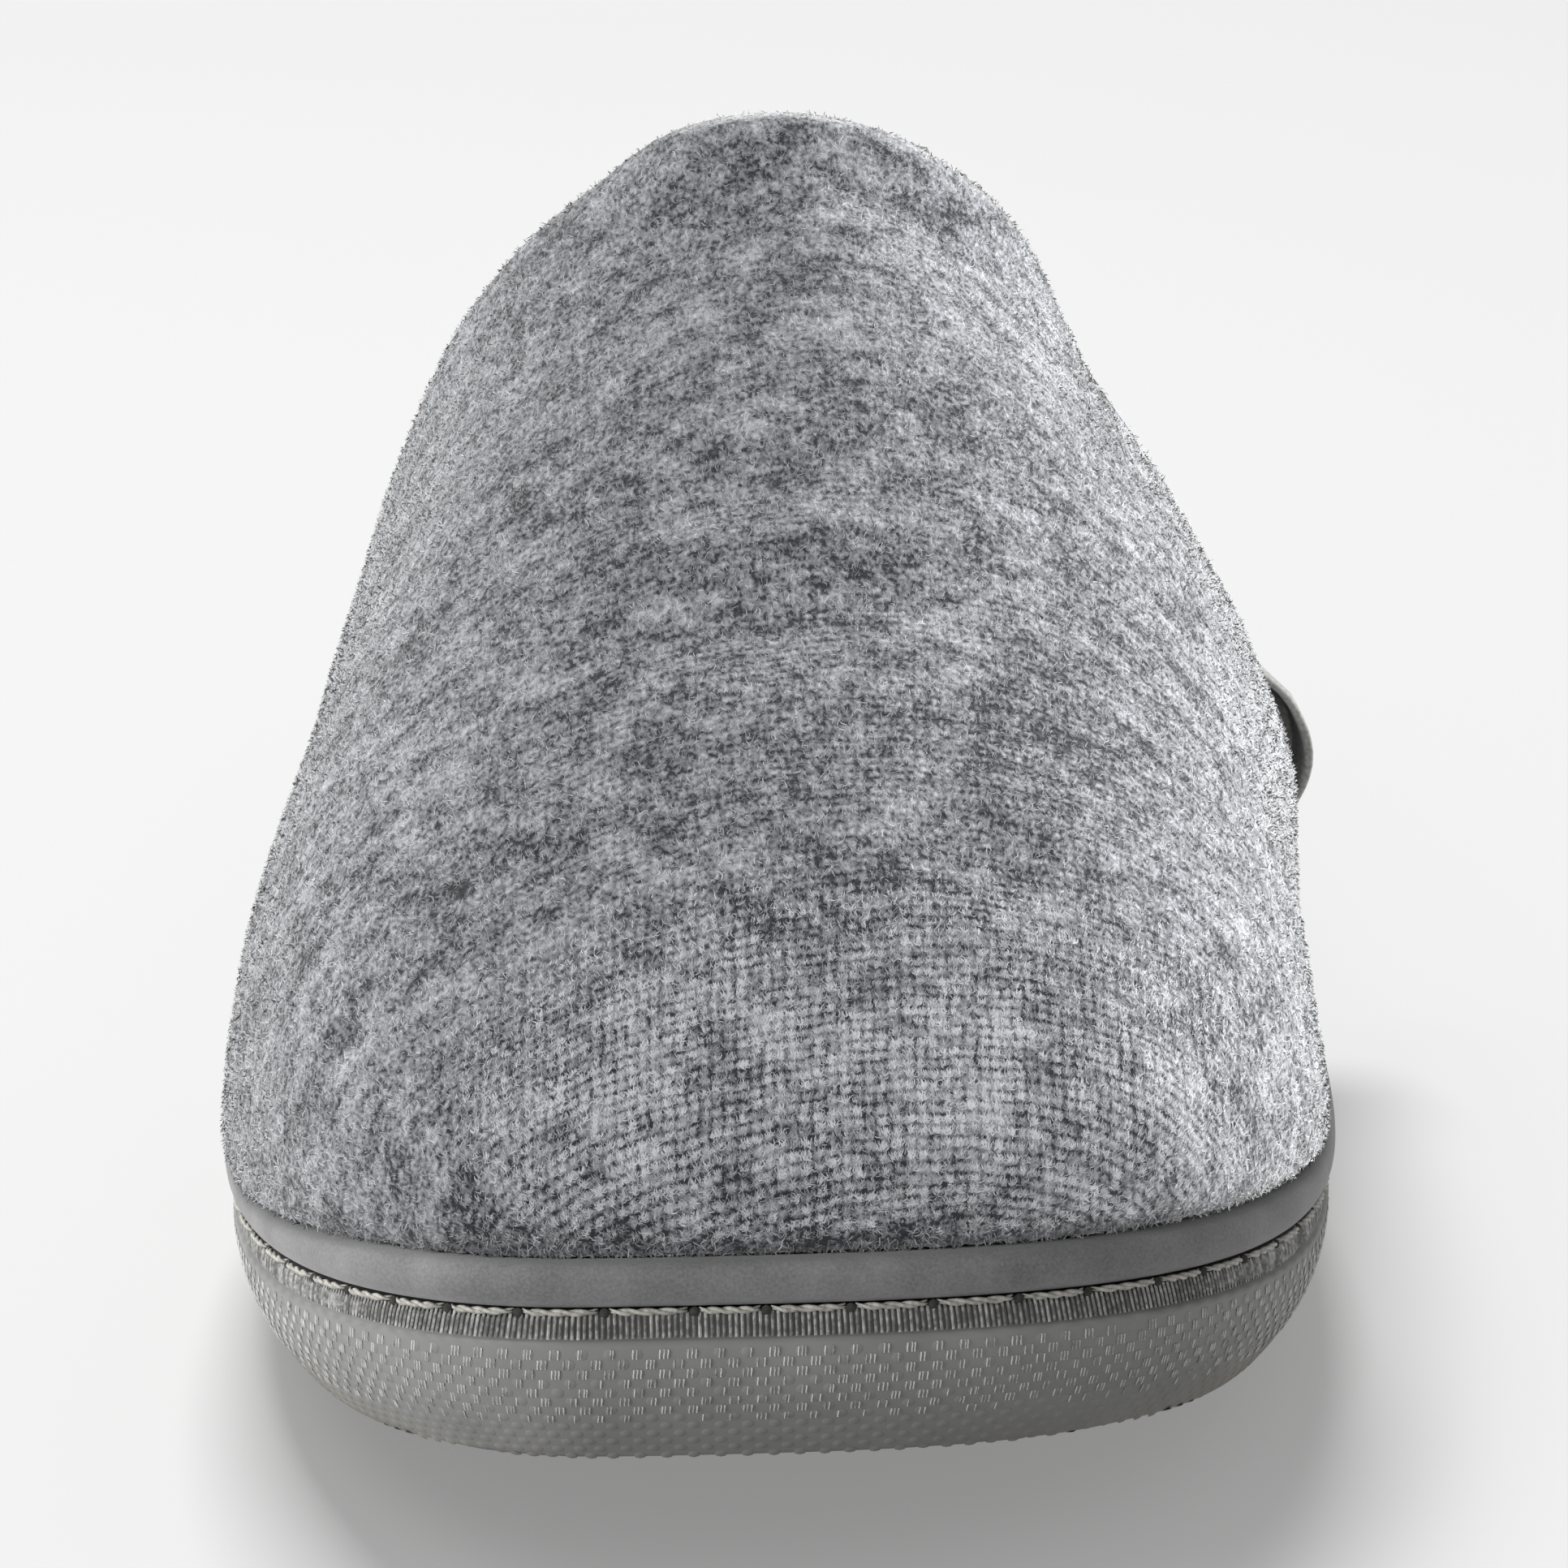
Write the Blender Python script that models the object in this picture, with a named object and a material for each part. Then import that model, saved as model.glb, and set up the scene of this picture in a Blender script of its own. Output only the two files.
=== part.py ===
"""Mule slipper for the left foot: a padded knit upper on a soft wrapped sole, open at the back.

Metres, +Z up, toe towards -Y, outer (lateral) side towards +X. The origin is on the floor under the
middle of the shoe's box. Inside the functions a point is (x, station, z), where the station is the
distance behind the toe tip.
"""

import math

import bmesh
import bpy

# Overall size
LENGTH = 0.286
TOE_TIP_X = -0.0172
HEEL_END_X = -0.0005

# Plan outline of the sole edge: (station, x) of the ball, the waist and the heel of each side
EDGE_PLACES = {
    "medial": {"ball": (0.081, -0.0553), "waist": (0.164, -0.0424), "heel": (0.238, -0.0390)},
    "lateral": {"ball": (0.097, 0.0522), "waist": (0.155, 0.0432), "heel": (0.238, 0.0380)},
}
TOE_ROUNDNESS = {"medial": 2.17, "lateral": 3.15}
HEEL_ROUNDNESS = 2.25

# Sole: height of its wall, lift of the toe and of the arch
SOLE_WALL_TOE = 0.0148
SOLE_WALL_HEEL = 0.0190
WALL_RISE_START = 0.110
WALL_RISE_END = 0.230
TOE_SPRING = 0.0135
SPRING_END = 0.108
ARCH_LIFT = 0.0020
ARCH_START = 0.128
ARCH_END = 0.200
WALL_TUCK = 0.0056          # how far the wall draws in between its top and the tread
WALL_ROUNDNESS = 2.2
TAPE_HEIGHT = 0.0028        # ribbed tape left bare at the top of the wall
TAPE_STEP = 0.0004          # the rubber coat stands proud of the tape by this

# Pieces that meet keep this gap
GAP = 0.0003

# Rolled piping between upper and sole
PIPING_HEIGHT = 0.0050
PIPING_DEPTH = 0.0050
PIPING_BULGE = 0.0008       # how far it stands out beyond the sole edge
PIPING_SQUARENESS = 0.75

# Padded insole
INSOLE_THICKNESS = 0.0052
INSOLE_EDGE = 0.0012
INSOLE_WIDENING = 0.012     # length over which it widens behind the upper's wings

# Upper: padded knit wall
UPPER_WALL = 0.0036
UPPER_BULGE = -0.0006       # its widest place stands this far out from the sole edge
BULGE_HEIGHT = 0.0074       # height of its widest place above the piping
FLARE_START = 0.100         # from here back the wings spread and their widest place climbs
WING_FLARE = {"medial": 0.0030, "lateral": 0.0100}
WING_LIFT = 0.0060
FLARE_CURL = 6              # keeps the spread low down on the wing
FEATHER_INSET = 0.0026      # where it rolls under onto the piping
MARGIN_WALL = 0.0020        # margin tucked down between piping and insole
MARGIN_RISE = 0.0030
CREST_FRONT = 0.040         # ribs fan round the toe from this place on the crest line
THROAT = 0.132              # back edge on the crest line
WING_END = {"medial": 0.145, "lateral": 0.148}
TOPLINE_CURVE = 1.4

# Crest line over the foot, and how round or peaked each side of the rib is there
CREST_COLUMNS = ("station", "height", "x", "medial", "lateral")
CREST = (
    (0.000, 0.0520, -0.0017, 0.89, 0.92),
    (0.040, 0.0657, -0.0008, 0.98, 1.00),
    (0.067, 0.0771, 0.0003, 1.04, 1.04),
    (0.095, 0.0895, 0.0022, 1.07, 1.07),
    (0.129, 0.1028, 0.0042, 1.06, 1.29),
    (0.157, 0.1130, 0.0044, 1.04, 1.33),
)

# Tape folded over the upper's back edge
BINDING_WIDTH = 0.0050
BINDING_WALL = 0.0010

# Mesh density, the share of a station used for slopes, and the distance that counts as one point
FAN_STEPS = 12
BODY_STEPS = 15
WAIST_STEPS = 9
HEEL_STEPS = 10
WALL_STEPS = 6
PIPING_SIDES = 12
CROWN_STEPS = 11
ROLL_STEPS = 4
SLOPE_SHARE = 0.01
SAME_POINT = 1e-6

# Look of each piece: linear base colour and roughness
FINISH = {
    "sole": ((0.21, 0.21, 0.20), 0.75),
    "piping": ((0.25, 0.25, 0.25), 0.60),
    "insole": ((0.20, 0.20, 0.21), 0.95),
    "upper": ((0.32, 0.33, 0.35), 0.95),
    "collar_binding": ((0.20, 0.20, 0.20), 0.70),
}

SIDES = ("medial", "lateral")
INWARD = {"medial": 1, "lateral": -1}


def smooth(low, high, value):
    """0 below low, 1 above high, with flat ends."""
    share = min(1.0, max(0.0, (value - low) / (high - low)))
    return share * share * (3 - 2 * share)


def bottom_height(station):
    """Height of the tread: toe spring in front, a low arch, flat under ball and heel."""
    spring = TOE_SPRING * max(0.0, 1 - station / SPRING_END) ** 2
    share = (station - ARCH_START) / (ARCH_END - ARCH_START)
    arch = ARCH_LIFT * math.sin(math.pi * share) ** 2 if 0 < share < 1 else 0.0
    return spring + arch


def deck_height(station):
    """Height of the sole's top edge, where piping, upper and insole sit."""
    rise = smooth(WALL_RISE_START, WALL_RISE_END, station)
    return bottom_height(station) + SOLE_WALL_TOE + (SOLE_WALL_HEEL - SOLE_WALL_TOE) * rise


def edge_x(side, station):
    """x of the sole edge: a rounded toe, an easy curve through the waist, a rounded heel."""
    (ball, ball_x), (waist, waist_x), (heel, heel_x) = EDGE_PLACES[side].values()
    if station < ball:
        power = TOE_ROUNDNESS[side]
        ahead = 1 - max(0.0, station) / ball
        return TOE_TIP_X + (ball_x - TOE_TIP_X) * (1 - ahead**power) ** (1 / power)
    if station < waist:
        return ball_x + (waist_x - ball_x) * smooth(ball, waist, station)
    if station < heel:
        return waist_x + (heel_x - waist_x) * smooth(waist, heel, station)
    power = HEEL_ROUNDNESS
    behind = min(1.0, (station - heel) / (LENGTH - heel))
    return HEEL_END_X + (heel_x - HEEL_END_X) * (1 - behind**power) ** (1 / power)


def edge_point(side, station, inset=0.0):
    """(x, station) on the sole edge, moved inwards square to the edge."""
    x = edge_x(side, station)
    if station <= 0:
        return x, inset
    if station >= LENGTH:
        return x, LENGTH - inset
    step = SLOPE_SHARE * min(station, LENGTH - station)
    slope = (edge_x(side, station + step) - edge_x(side, station - step)) / (2 * step)
    size = inset * INWARD[side] / math.hypot(1, slope)
    return x + size, station - size * slope


def edge_stations(side):
    """Stations of the points on one side of the sole edge, from the toe tip to the heel end."""
    ball = EDGE_PLACES[side]["ball"][0]
    heel = EDGE_PLACES[side]["heel"][0]
    wing = WING_END[side]
    power = 2 / TOE_ROUNDNESS[side]
    fan_end = math.acos((1 - CREST_FRONT / ball) ** (1 / power))
    stations = [ball * (1 - math.cos(fan_end * i / FAN_STEPS) ** power) for i in range(FAN_STEPS)]
    stations += [CREST_FRONT + (wing - CREST_FRONT) * i / BODY_STEPS for i in range(BODY_STEPS)]
    stations += [wing + (heel - wing) * i / WAIST_STEPS for i in range(WAIST_STEPS)]
    power = 2 / HEEL_ROUNDNESS
    for i in range(HEEL_STEPS + 1):
        stations.append(heel + (LENGTH - heel) * math.sin(math.pi / 2 * i / HEEL_STEPS) ** power)
    return stations


def ring(inset, height):
    """Points round the shoe from the toe tip up the medial side and back down the lateral side.

    The inset is a function of side and station, the height a function of the station.
    """
    places = [("medial", station) for station in edge_stations("medial")]
    places += [("lateral", station) for station in edge_stations("lateral")[-2:0:-1]]
    points = []
    for side, station in places:
        x, moved = edge_point(side, station, inset(side, station))
        points.append((x, moved, height(moved)))
    return points


def even(inset):
    """Inset function that is the same all round."""
    return lambda side, station: inset


def ladder(count, first):
    """Faces that fill a ring of points with rungs from the medial to the lateral side."""
    half = count // 2
    medial = [first + i for i in range(half + 1)]
    lateral = [first + (count - i) % count for i in range(half + 1)]
    faces = [(medial[0], lateral[1], medial[1]), (medial[half - 1], lateral[half - 1], medial[half])]
    for i in range(1, half - 1):
        faces.append((medial[i], lateral[i], lateral[i + 1], medial[i + 1]))
    return faces


def band(low, high, count):
    """Faces between two closed rings of points that start at the numbers low and high."""
    faces = []
    for i in range(count):
        after = (i + 1) % count
        faces.append((low + i, low + after, high + after, high + i))
    return faces


def stack(rings):
    """Closed solid through a stack of rings, with both ends filled."""
    count = len(rings[0])
    faces = ladder(count, 0) + ladder(count, (len(rings) - 1) * count)
    for level in range(len(rings) - 1):
        faces += band(level * count, (level + 1) * count, count)
    return [point for points in rings for point in points], faces


def make_sole():
    """Wrapped sole: tread, rounded wall, then a small step in to the bare tape at the top."""
    rings = []
    for i in range(WALL_STEPS + 1):
        share = i / WALL_STEPS
        inset = WALL_TUCK * (1 - share) ** WALL_ROUNDNESS

        def wall_height(station, share=share):
            low = bottom_height(station)
            return low + (deck_height(station) - TAPE_HEIGHT - low) * share

        rings.append(ring(even(inset), wall_height))
    rings.append(ring(even(TAPE_STEP), lambda station: deck_height(station) - TAPE_HEIGHT + TAPE_STEP))
    rings.append(ring(even(TAPE_STEP), deck_height))
    return stack(rings)


def make_piping():
    """Rolled piping that runs all round on the sole's top edge."""
    middle = (PIPING_DEPTH - PIPING_BULGE) / 2
    reach = (PIPING_DEPTH + PIPING_BULGE) / 2
    half_height = (PIPING_HEIGHT - GAP) / 2
    rings = []
    for i in range(PIPING_SIDES):
        angle = 2 * math.pi * (i + 0.5) / PIPING_SIDES
        across = math.copysign(abs(math.cos(angle)) ** PIPING_SQUARENESS, math.cos(angle))
        up = math.copysign(abs(math.sin(angle)) ** PIPING_SQUARENESS, math.sin(angle))
        lift = GAP + half_height * (1 + up)

        def level(station, lift=lift):
            return deck_height(station) + lift

        rings.append(ring(even(middle - reach * across), level))
    count = len(rings[0])
    faces = []
    for i in range(PIPING_SIDES):
        faces += band(i * count, (i + 1) % PIPING_SIDES * count, count)
    return [point for points in rings for point in points], faces


def make_insole():
    """Padded insole: narrower in front, where the upper's margin lies between it and the piping."""
    heel_inset = PIPING_DEPTH + GAP
    front_inset = heel_inset + MARGIN_WALL + GAP

    def foot(side, station):
        start = WING_END[side] + GAP
        behind = smooth(start, start + INSOLE_WIDENING, station)
        return front_inset + (heel_inset - front_inset) * behind

    def level(lift):
        return lambda station: deck_height(station) + GAP + lift

    return stack([
        ring(foot, level(0)),
        ring(foot, level(INSOLE_THICKNESS - INSOLE_EDGE)),
        ring(lambda side, station: foot(side, station) + INSOLE_EDGE, level(INSOLE_THICKNESS)),
    ])


def crest(station, column):
    """Value of a column of the crest table at a station, on a smooth curve through its rows."""
    last = len(CREST) - 1
    place = CREST_COLUMNS.index(column)
    row = max(i for i in range(last) if i == 0 or CREST[i][0] <= station)
    start, end = CREST[row], CREST[row + 1]
    before, after = CREST[max(row - 1, 0)], CREST[min(row + 2, last)]
    span = end[0] - start[0]
    share = (station - start[0]) / span
    slope_in = span * (end[place] - before[place]) / (end[0] - before[0])
    slope_out = span * (after[place] - start[place]) / (after[0] - start[0])
    straight = end[place] - start[place]
    bend = (slope_in - straight) * (1 - share) - (slope_out - straight) * share
    return start[place] + straight * share + share * (1 - share) * bend


def flare(side, station):
    """0 along the vamp, growing to 1 at the back edge of the wing."""
    return smooth(FLARE_START, WING_END[side], station)


def bulge(side, station):
    """How far the upper's widest place stands out from the sole edge, below 0 inside it."""
    return UPPER_BULGE + WING_FLARE[side] * flare(side, station)


def bulge_height(side, station):
    """Height of the upper's widest place above the piping."""
    return BULGE_HEIGHT + WING_LIFT * flare(side, station)


def crown_point(side, top, foot, angle, depth):
    """Point of a rib that goes over the foot from the crest line at top to the sole edge at foot.

    The angle is 0 on the crest line and 90 degrees at the widest place; depth goes into the wall.
    """
    shoulder = crest(top, side)
    reach = math.sin(angle) ** shoulder
    if foot < CREST_FRONT:
        foot_x, foot_station = edge_point(side, foot, depth - bulge(side, foot))
        station = top + (foot_station - top) * reach
        middle = crest(top, "x")
        x = middle + (foot_x - middle) * reach
    else:
        station = top + (foot - top) * reach**TOPLINE_CURVE
        middle = crest(station, "x")
        wide_x = edge_x(side, station) + INWARD[side] * (depth - UPPER_BULGE)
        spread = WING_FLARE[side] * flare(side, station) * reach**FLARE_CURL
        x = middle + (wide_x - middle) * reach - INWARD[side] * spread
    low = deck_height(station) + PIPING_HEIGHT + bulge_height(side, station)
    rise = max(0.0, math.cos(angle)) ** shoulder
    return x, station, low + (crest(station, "height") - depth - low) * rise


def rib_skin(side, top, foot, depth, end_inset, end_height):
    """One skin of a rib: over the crown, then a quarter round down to its end above the piping."""
    quarter = math.pi / 2
    points = [crown_point(side, top, foot, quarter * i / CROWN_STEPS, depth) for i in range(CROWN_STEPS + 1)]
    start_inset = depth - bulge(side, foot)
    start_height = bulge_height(side, foot)
    for i in range(1, ROLL_STEPS + 1):
        angle = quarter * i / ROLL_STEPS
        inset = start_inset + (end_inset - start_inset) * (1 - math.cos(angle))
        height = start_height + (end_height - start_height) * math.sin(angle)
        x, station = edge_point(side, foot, inset)
        points.append((x, station, deck_height(station) + PIPING_HEIGHT + height))
    return points


def outer_skin(side, top, foot, grow=0.0):
    """Outside of a rib down to the feather edge on the piping."""
    return rib_skin(side, top, foot, -grow, FEATHER_INSET - grow, GAP)


def inner_skin(side, top, foot, grow=0.0):
    """Inside of a rib down to the top of the margin."""
    margin_inset = PIPING_DEPTH + GAP + MARGIN_WALL
    return rib_skin(side, top, foot, UPPER_WALL + grow, margin_inset + grow, MARGIN_RISE)


def margin(side, foot):
    """Margin between piping and insole: its outer top, outer foot and inner foot."""
    points = []
    for inset, lift in ((0, PIPING_HEIGHT + GAP), (0, GAP), (MARGIN_WALL, GAP)):
        x, station = edge_point(side, foot, PIPING_DEPTH + GAP + inset)
        points.append((x, station, deck_height(station) + lift))
    return points


def make_upper():
    """Padded upper as one hollow wall, open underneath and at the back."""
    ribs = []
    for side in SIDES:
        side_ribs = []
        for i, foot in enumerate(edge_stations(side)[: FAN_STEPS + BODY_STEPS + 1]):
            top = CREST_FRONT + (THROAT - CREST_FRONT) * max(0, i - FAN_STEPS) / BODY_STEPS
            inside = inner_skin(side, top, foot)
            side_ribs.append(outer_skin(side, top, foot) + margin(side, foot) + inside[::-1])
        ribs += side_ribs[::-1] if side == "medial" else side_ribs[1:]
    size = len(ribs[0])
    faces = []
    for i in range(len(ribs) - 1):
        for k in range(size - 1):
            here, there = i * size + k, (i + 1) * size + k
            faces.append((here, there, there + 1, here + 1))
    skin = CROWN_STEPS + ROLL_STEPS
    for first in (0, (len(ribs) - 1) * size):
        outer = [first + k for k in range(skin + 1)]
        inner = [first + size - 1 - k for k in range(skin + 1)]
        foot = [first + skin + 1 + k for k in range(3)]
        for k in range(skin):
            faces.append((outer[k], outer[k + 1], inner[k + 1], inner[k]))
        faces.append((outer[skin], foot[0], inner[skin]))
        faces.append((foot[0], foot[1], foot[2], inner[skin]))
    return [point for rib in ribs for point in rib], faces


def make_binding():
    """Tape folded over the upper's back edge, down to just above the piping."""
    loops = []
    for side in SIDES:

        def skin(make, setback, grow, side=side):
            return make(side, THROAT - setback, WING_END[side] - setback, grow)

        columns = []
        for grow in (GAP + BINDING_WALL, GAP):
            setbacks = (BINDING_WIDTH, BINDING_WIDTH / 2, 0)
            leg = [skin(outer_skin, setback, grow) for setback in setbacks]
            leg += [skin(outer_skin, -grow, 0), skin(inner_skin, -grow, 0)]
            leg += [skin(inner_skin, setback, grow) for setback in setbacks[::-1]]
            columns += leg if not columns else leg[::-1]
        side_loops = [[column[k] for column in columns] for k in range(CROWN_STEPS + ROLL_STEPS - 1)]
        loops += side_loops[::-1] if side == "medial" else side_loops[1:]
    count = len(loops[0])
    faces = []
    for i in range(len(loops) - 1):
        faces += band(i * count, (i + 1) * count, count)
    for first in (0, (len(loops) - 1) * count):
        for k in range(count // 2 - 1):
            faces.append((first + k, first + k + 1, first + count - 2 - k, first + count - 1 - k))
    return [point for loop in loops for point in loop], faces


def add_piece(name, shape, centre_x):
    """Object from points and faces, with its material."""
    points, faces = shape
    mesh = bpy.data.meshes.new(name)
    shell = bmesh.new()
    corners = [shell.verts.new((x - centre_x, station - LENGTH / 2, z)) for x, station, z in points]
    for face in faces:
        shell.faces.new([corners[i] for i in face])
    bmesh.ops.remove_doubles(shell, verts=shell.verts, dist=SAME_POINT)
    bmesh.ops.recalc_face_normals(shell, faces=shell.faces)
    shell.to_mesh(mesh)
    shell.free()
    colour, roughness = FINISH[name]
    material = bpy.data.materials.new(name)
    material.use_nodes = True
    shader = material.node_tree.nodes["Principled BSDF"]
    shader.inputs["Base Color"].default_value = (*colour, 1)
    shader.inputs["Roughness"].default_value = roughness
    mesh.materials.append(material)
    piece = bpy.data.objects.new(name, mesh)
    bpy.context.scene.collection.objects.link(piece)
    return piece


def main():
    for old in list(bpy.data.objects):
        bpy.data.objects.remove(old)
    shapes = {
        "sole": make_sole(),
        "piping": make_piping(),
        "insole": make_insole(),
        "upper": make_upper(),
        "collar_binding": make_binding(),
    }
    across = [x for points, _ in shapes.values() for x, _, _ in points]
    centre_x = (min(across) + max(across)) / 2
    for name, shape in shapes.items():
        add_piece(name, shape, centre_x)


main()
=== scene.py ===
# %% [markdown]
# # A grey knit mule slipper
# The imported model is the frame: five plain solids at their real size. Every piece below is made from
# them or laid on them, so the looks can never drift away from the part that was measured.

# %% Load the frame
import math

import bmesh
import bpy
import numpy as np
from mathutils import Matrix, Vector
from mathutils.bvhtree import BVHTree


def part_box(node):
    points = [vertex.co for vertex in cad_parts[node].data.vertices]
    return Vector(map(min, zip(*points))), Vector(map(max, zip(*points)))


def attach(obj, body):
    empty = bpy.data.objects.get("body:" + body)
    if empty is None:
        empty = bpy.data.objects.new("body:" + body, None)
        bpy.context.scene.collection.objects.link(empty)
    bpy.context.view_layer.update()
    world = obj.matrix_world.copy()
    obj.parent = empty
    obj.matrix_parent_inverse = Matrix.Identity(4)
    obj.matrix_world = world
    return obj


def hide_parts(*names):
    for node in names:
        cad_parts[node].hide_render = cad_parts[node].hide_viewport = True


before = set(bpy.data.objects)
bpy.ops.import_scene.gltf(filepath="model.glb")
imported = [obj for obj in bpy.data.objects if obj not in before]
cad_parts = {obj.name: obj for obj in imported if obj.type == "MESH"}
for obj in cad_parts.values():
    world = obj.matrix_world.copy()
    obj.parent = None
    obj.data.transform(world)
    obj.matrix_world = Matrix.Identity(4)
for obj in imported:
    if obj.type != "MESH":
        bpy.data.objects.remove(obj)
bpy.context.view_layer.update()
MM = 0.001
rng = np.random.default_rng(20)

# %% [markdown]
# ## Camera
# The slipper is seen from the front, toe first, from a little above. A long lens keeps the toe and the
# throat at nearly the same scale. The angles and the distance were worked out from the outline, and
# the lens follows from the focal length in pixels of the square picture.

# %% Camera
PICTURE_PX = 1932
FOCAL_PX = 9864
SENSOR_MM = 36.0
CAMERA_PLACE = Vector((-1.5, -803.3, 296.2)) * MM
CAMERA_PAN = math.radians(-0.124)
CAMERA_TILT = math.radians(18.32)
CAMERA_ROLL = math.radians(-1.0)


def aim(pan, tilt, roll):
    """Camera axes as a matrix: pan about the vertical, look down by tilt, then roll."""
    ahead = Vector((-math.sin(pan) * math.cos(tilt), math.cos(pan) * math.cos(tilt), -math.sin(tilt)))
    side = ahead.cross(Vector((0, 0, 1))).normalized()
    top = side.cross(ahead)
    right = side * math.cos(roll) + top * math.sin(roll)
    up = top * math.cos(roll) - side * math.sin(roll)
    return Matrix((right, up, -ahead)).transposed()


lens = bpy.data.cameras.new("camera")
lens.sensor_width = SENSOR_MM
lens.lens = SENSOR_MM * FOCAL_PX / PICTURE_PX
camera = bpy.data.objects.new("camera", lens)
camera.matrix_world = Matrix.Translation(CAMERA_PLACE) @ aim(CAMERA_PAN, CAMERA_TILT, CAMERA_ROLL).to_4x4()
bpy.context.scene.collection.objects.link(camera)
bpy.context.scene.camera = camera
print("lens, mm:", round(lens.lens, 1))

# %% [markdown]
# ## Colours and nodes
# Three small helpers serve every material: one turns the hex colour that a picture editor shows into the
# linear light that a renderer adds up, one adds a node with its settings and its links, and one starts
# a material. Blender's names of the three kinds of node used most are kept as short words.

# %% Colour and node helpers
MATH = "ShaderNodeMath"
RANGE = "ShaderNodeMapRange"
MIX = "ShaderNodeMixRGB"


def linear(hex_colour):
    """Linear RGBA of an sRGB hex colour such as #9a9ca0."""
    parts = [int(hex_colour[i : i + 2], 16) / 255 for i in (1, 3, 5)]
    return (*(v / 12.92 if v <= 0.04045 else ((v + 0.055) / 1.055) ** 2.4 for v in parts), 1)


def node(tree, kind, inputs=(), **settings):
    """New node: settings are its own properties, inputs are (socket, value or another output) pairs."""
    made = tree.nodes.new(kind)
    for name, value in settings.items():
        setattr(made, name, value)
    for socket, value in inputs:
        if isinstance(value, bpy.types.NodeSocket):
            tree.links.new(value, made.inputs[socket])
        else:
            made.inputs[socket].default_value = value
    return made


def material(name, **sockets):
    """Material with a Principled shader, whose plain sockets are set here."""
    made = bpy.data.materials.new(name)
    made.use_nodes = True
    shader = made.node_tree.nodes["Principled BSDF"]
    for socket, value in sockets.items():
        shader.inputs[socket.replace("_", " ")].default_value = value
    return made, made.node_tree, shader


# %% [markdown]
# ## Table
# The slipper stands on a large sheet of pale paper, a hair below the tread so that the two never share
# a plane. The paper glows a very little, as a lit table does, which keeps the shadow pale, and it grows
# darker towards the back, where the lamp behind the shoe would otherwise burn it out.

# %% Table
FLOOR_SIZE = 8.0
FLOOR_DROP = 0.2 * MM
STUDIO_PAPER = "#7b7b7b"
PAPER_BACK = "#686868"
PAPER_FADE_Y = (-0.15, 0.5)
PAPER_GLOW = 0.25

stage_mesh = bmesh.new()
bmesh.ops.create_grid(stage_mesh, x_segments=1, y_segments=1, size=FLOOR_SIZE / 2)
bmesh.ops.translate(stage_mesh, verts=stage_mesh.verts, vec=(0, 0, -FLOOR_DROP))
floor = bpy.data.objects.new("floor", bpy.data.meshes.new("floor"))
stage_mesh.to_mesh(floor.data)
stage_mesh.free()
bpy.context.scene.collection.objects.link(floor)
# Matt background paper: no gloss and no grain, so nothing draws the eye from the shoe.
paper, tree, shader = material(
    "studio_paper", Roughness=0.9, Emission_Color=(1, 1, 1, 1), Emission_Strength=PAPER_GLOW
)
place = node(tree, "ShaderNodeTexCoord").outputs["Object"]
depth = node(tree, "ShaderNodeSeparateXYZ", [(0, place)]).outputs["Y"]
back = node(tree, RANGE, [(0, depth), (1, PAPER_FADE_Y[0]), (2, PAPER_FADE_Y[1])]).outputs[0]
colour = node(tree, MIX, [(0, back), (1, linear(STUDIO_PAPER)), (2, linear(PAPER_BACK))])
tree.links.new(colour.outputs[0], shader.inputs["Base Color"])
floor.data.materials.append(paper)
print("table, m:", FLOOR_SIZE)

# %% [markdown]
# ## Tent of light
# Small things are often lit inside a white tent, so that light comes from all sides. Here the world is
# the tent: five soft lobes, one to each side and one above, dimmer in front and overhead. A lobe
# is the square of how far a direction leans to its side. A photographed studio could light the shoe as
# well, but that would be a file to load.

# %% Tent of light
TENT = (
    # axis, sign and strength: right, left, back, front, top
    (0, 1.0, 0.85),
    (0, -1.0, 0.9),
    (1, 1.0, 0.9),
    (1, -1.0, 0.50),
    (2, 1.0, 0.55),
)

world = bpy.data.worlds.new("studio")
world.use_nodes = True
tree = world.node_tree
way = node(tree, "ShaderNodeSeparateXYZ", [(0, node(tree, "ShaderNodeTexCoord").outputs["Generated"])])
glow = 0.0
for axis, sign, strength in TENT:
    turned = node(tree, MATH, [(0, way.outputs[axis]), (1, sign)], operation="MULTIPLY")
    leaning = node(tree, MATH, [(0, turned.outputs[0]), (1, 0.0)], operation="MAXIMUM")
    squared = node(tree, MATH, [(0, leaning.outputs[0]), (1, 2.0)], operation="POWER")
    inputs = [(0, squared.outputs[0]), (1, strength), (2, glow)]
    glow = node(tree, MATH, inputs, operation="MULTIPLY_ADD").outputs[0]
tree.nodes["Background"].inputs["Color"].default_value = (1, 1, 1, 1)
tree.links.new(glow, tree.nodes["Background"].inputs["Strength"])
bpy.context.scene.world = world
bpy.context.scene.view_settings.view_transform = "Standard"
print("tent sides:", len(TENT))

# %% [markdown]
# ## Lamps
# A soft key lamp hangs at the upper left and lights everything. Light linking parts the others, as a
# retoucher would: a panel over the camera and one at the right light the knit alone, one at the left
# lights the whole shoe, a low one lights sole and piping, and a lamp behind lights the table alone and
# throws the short shadow towards the camera.

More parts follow.
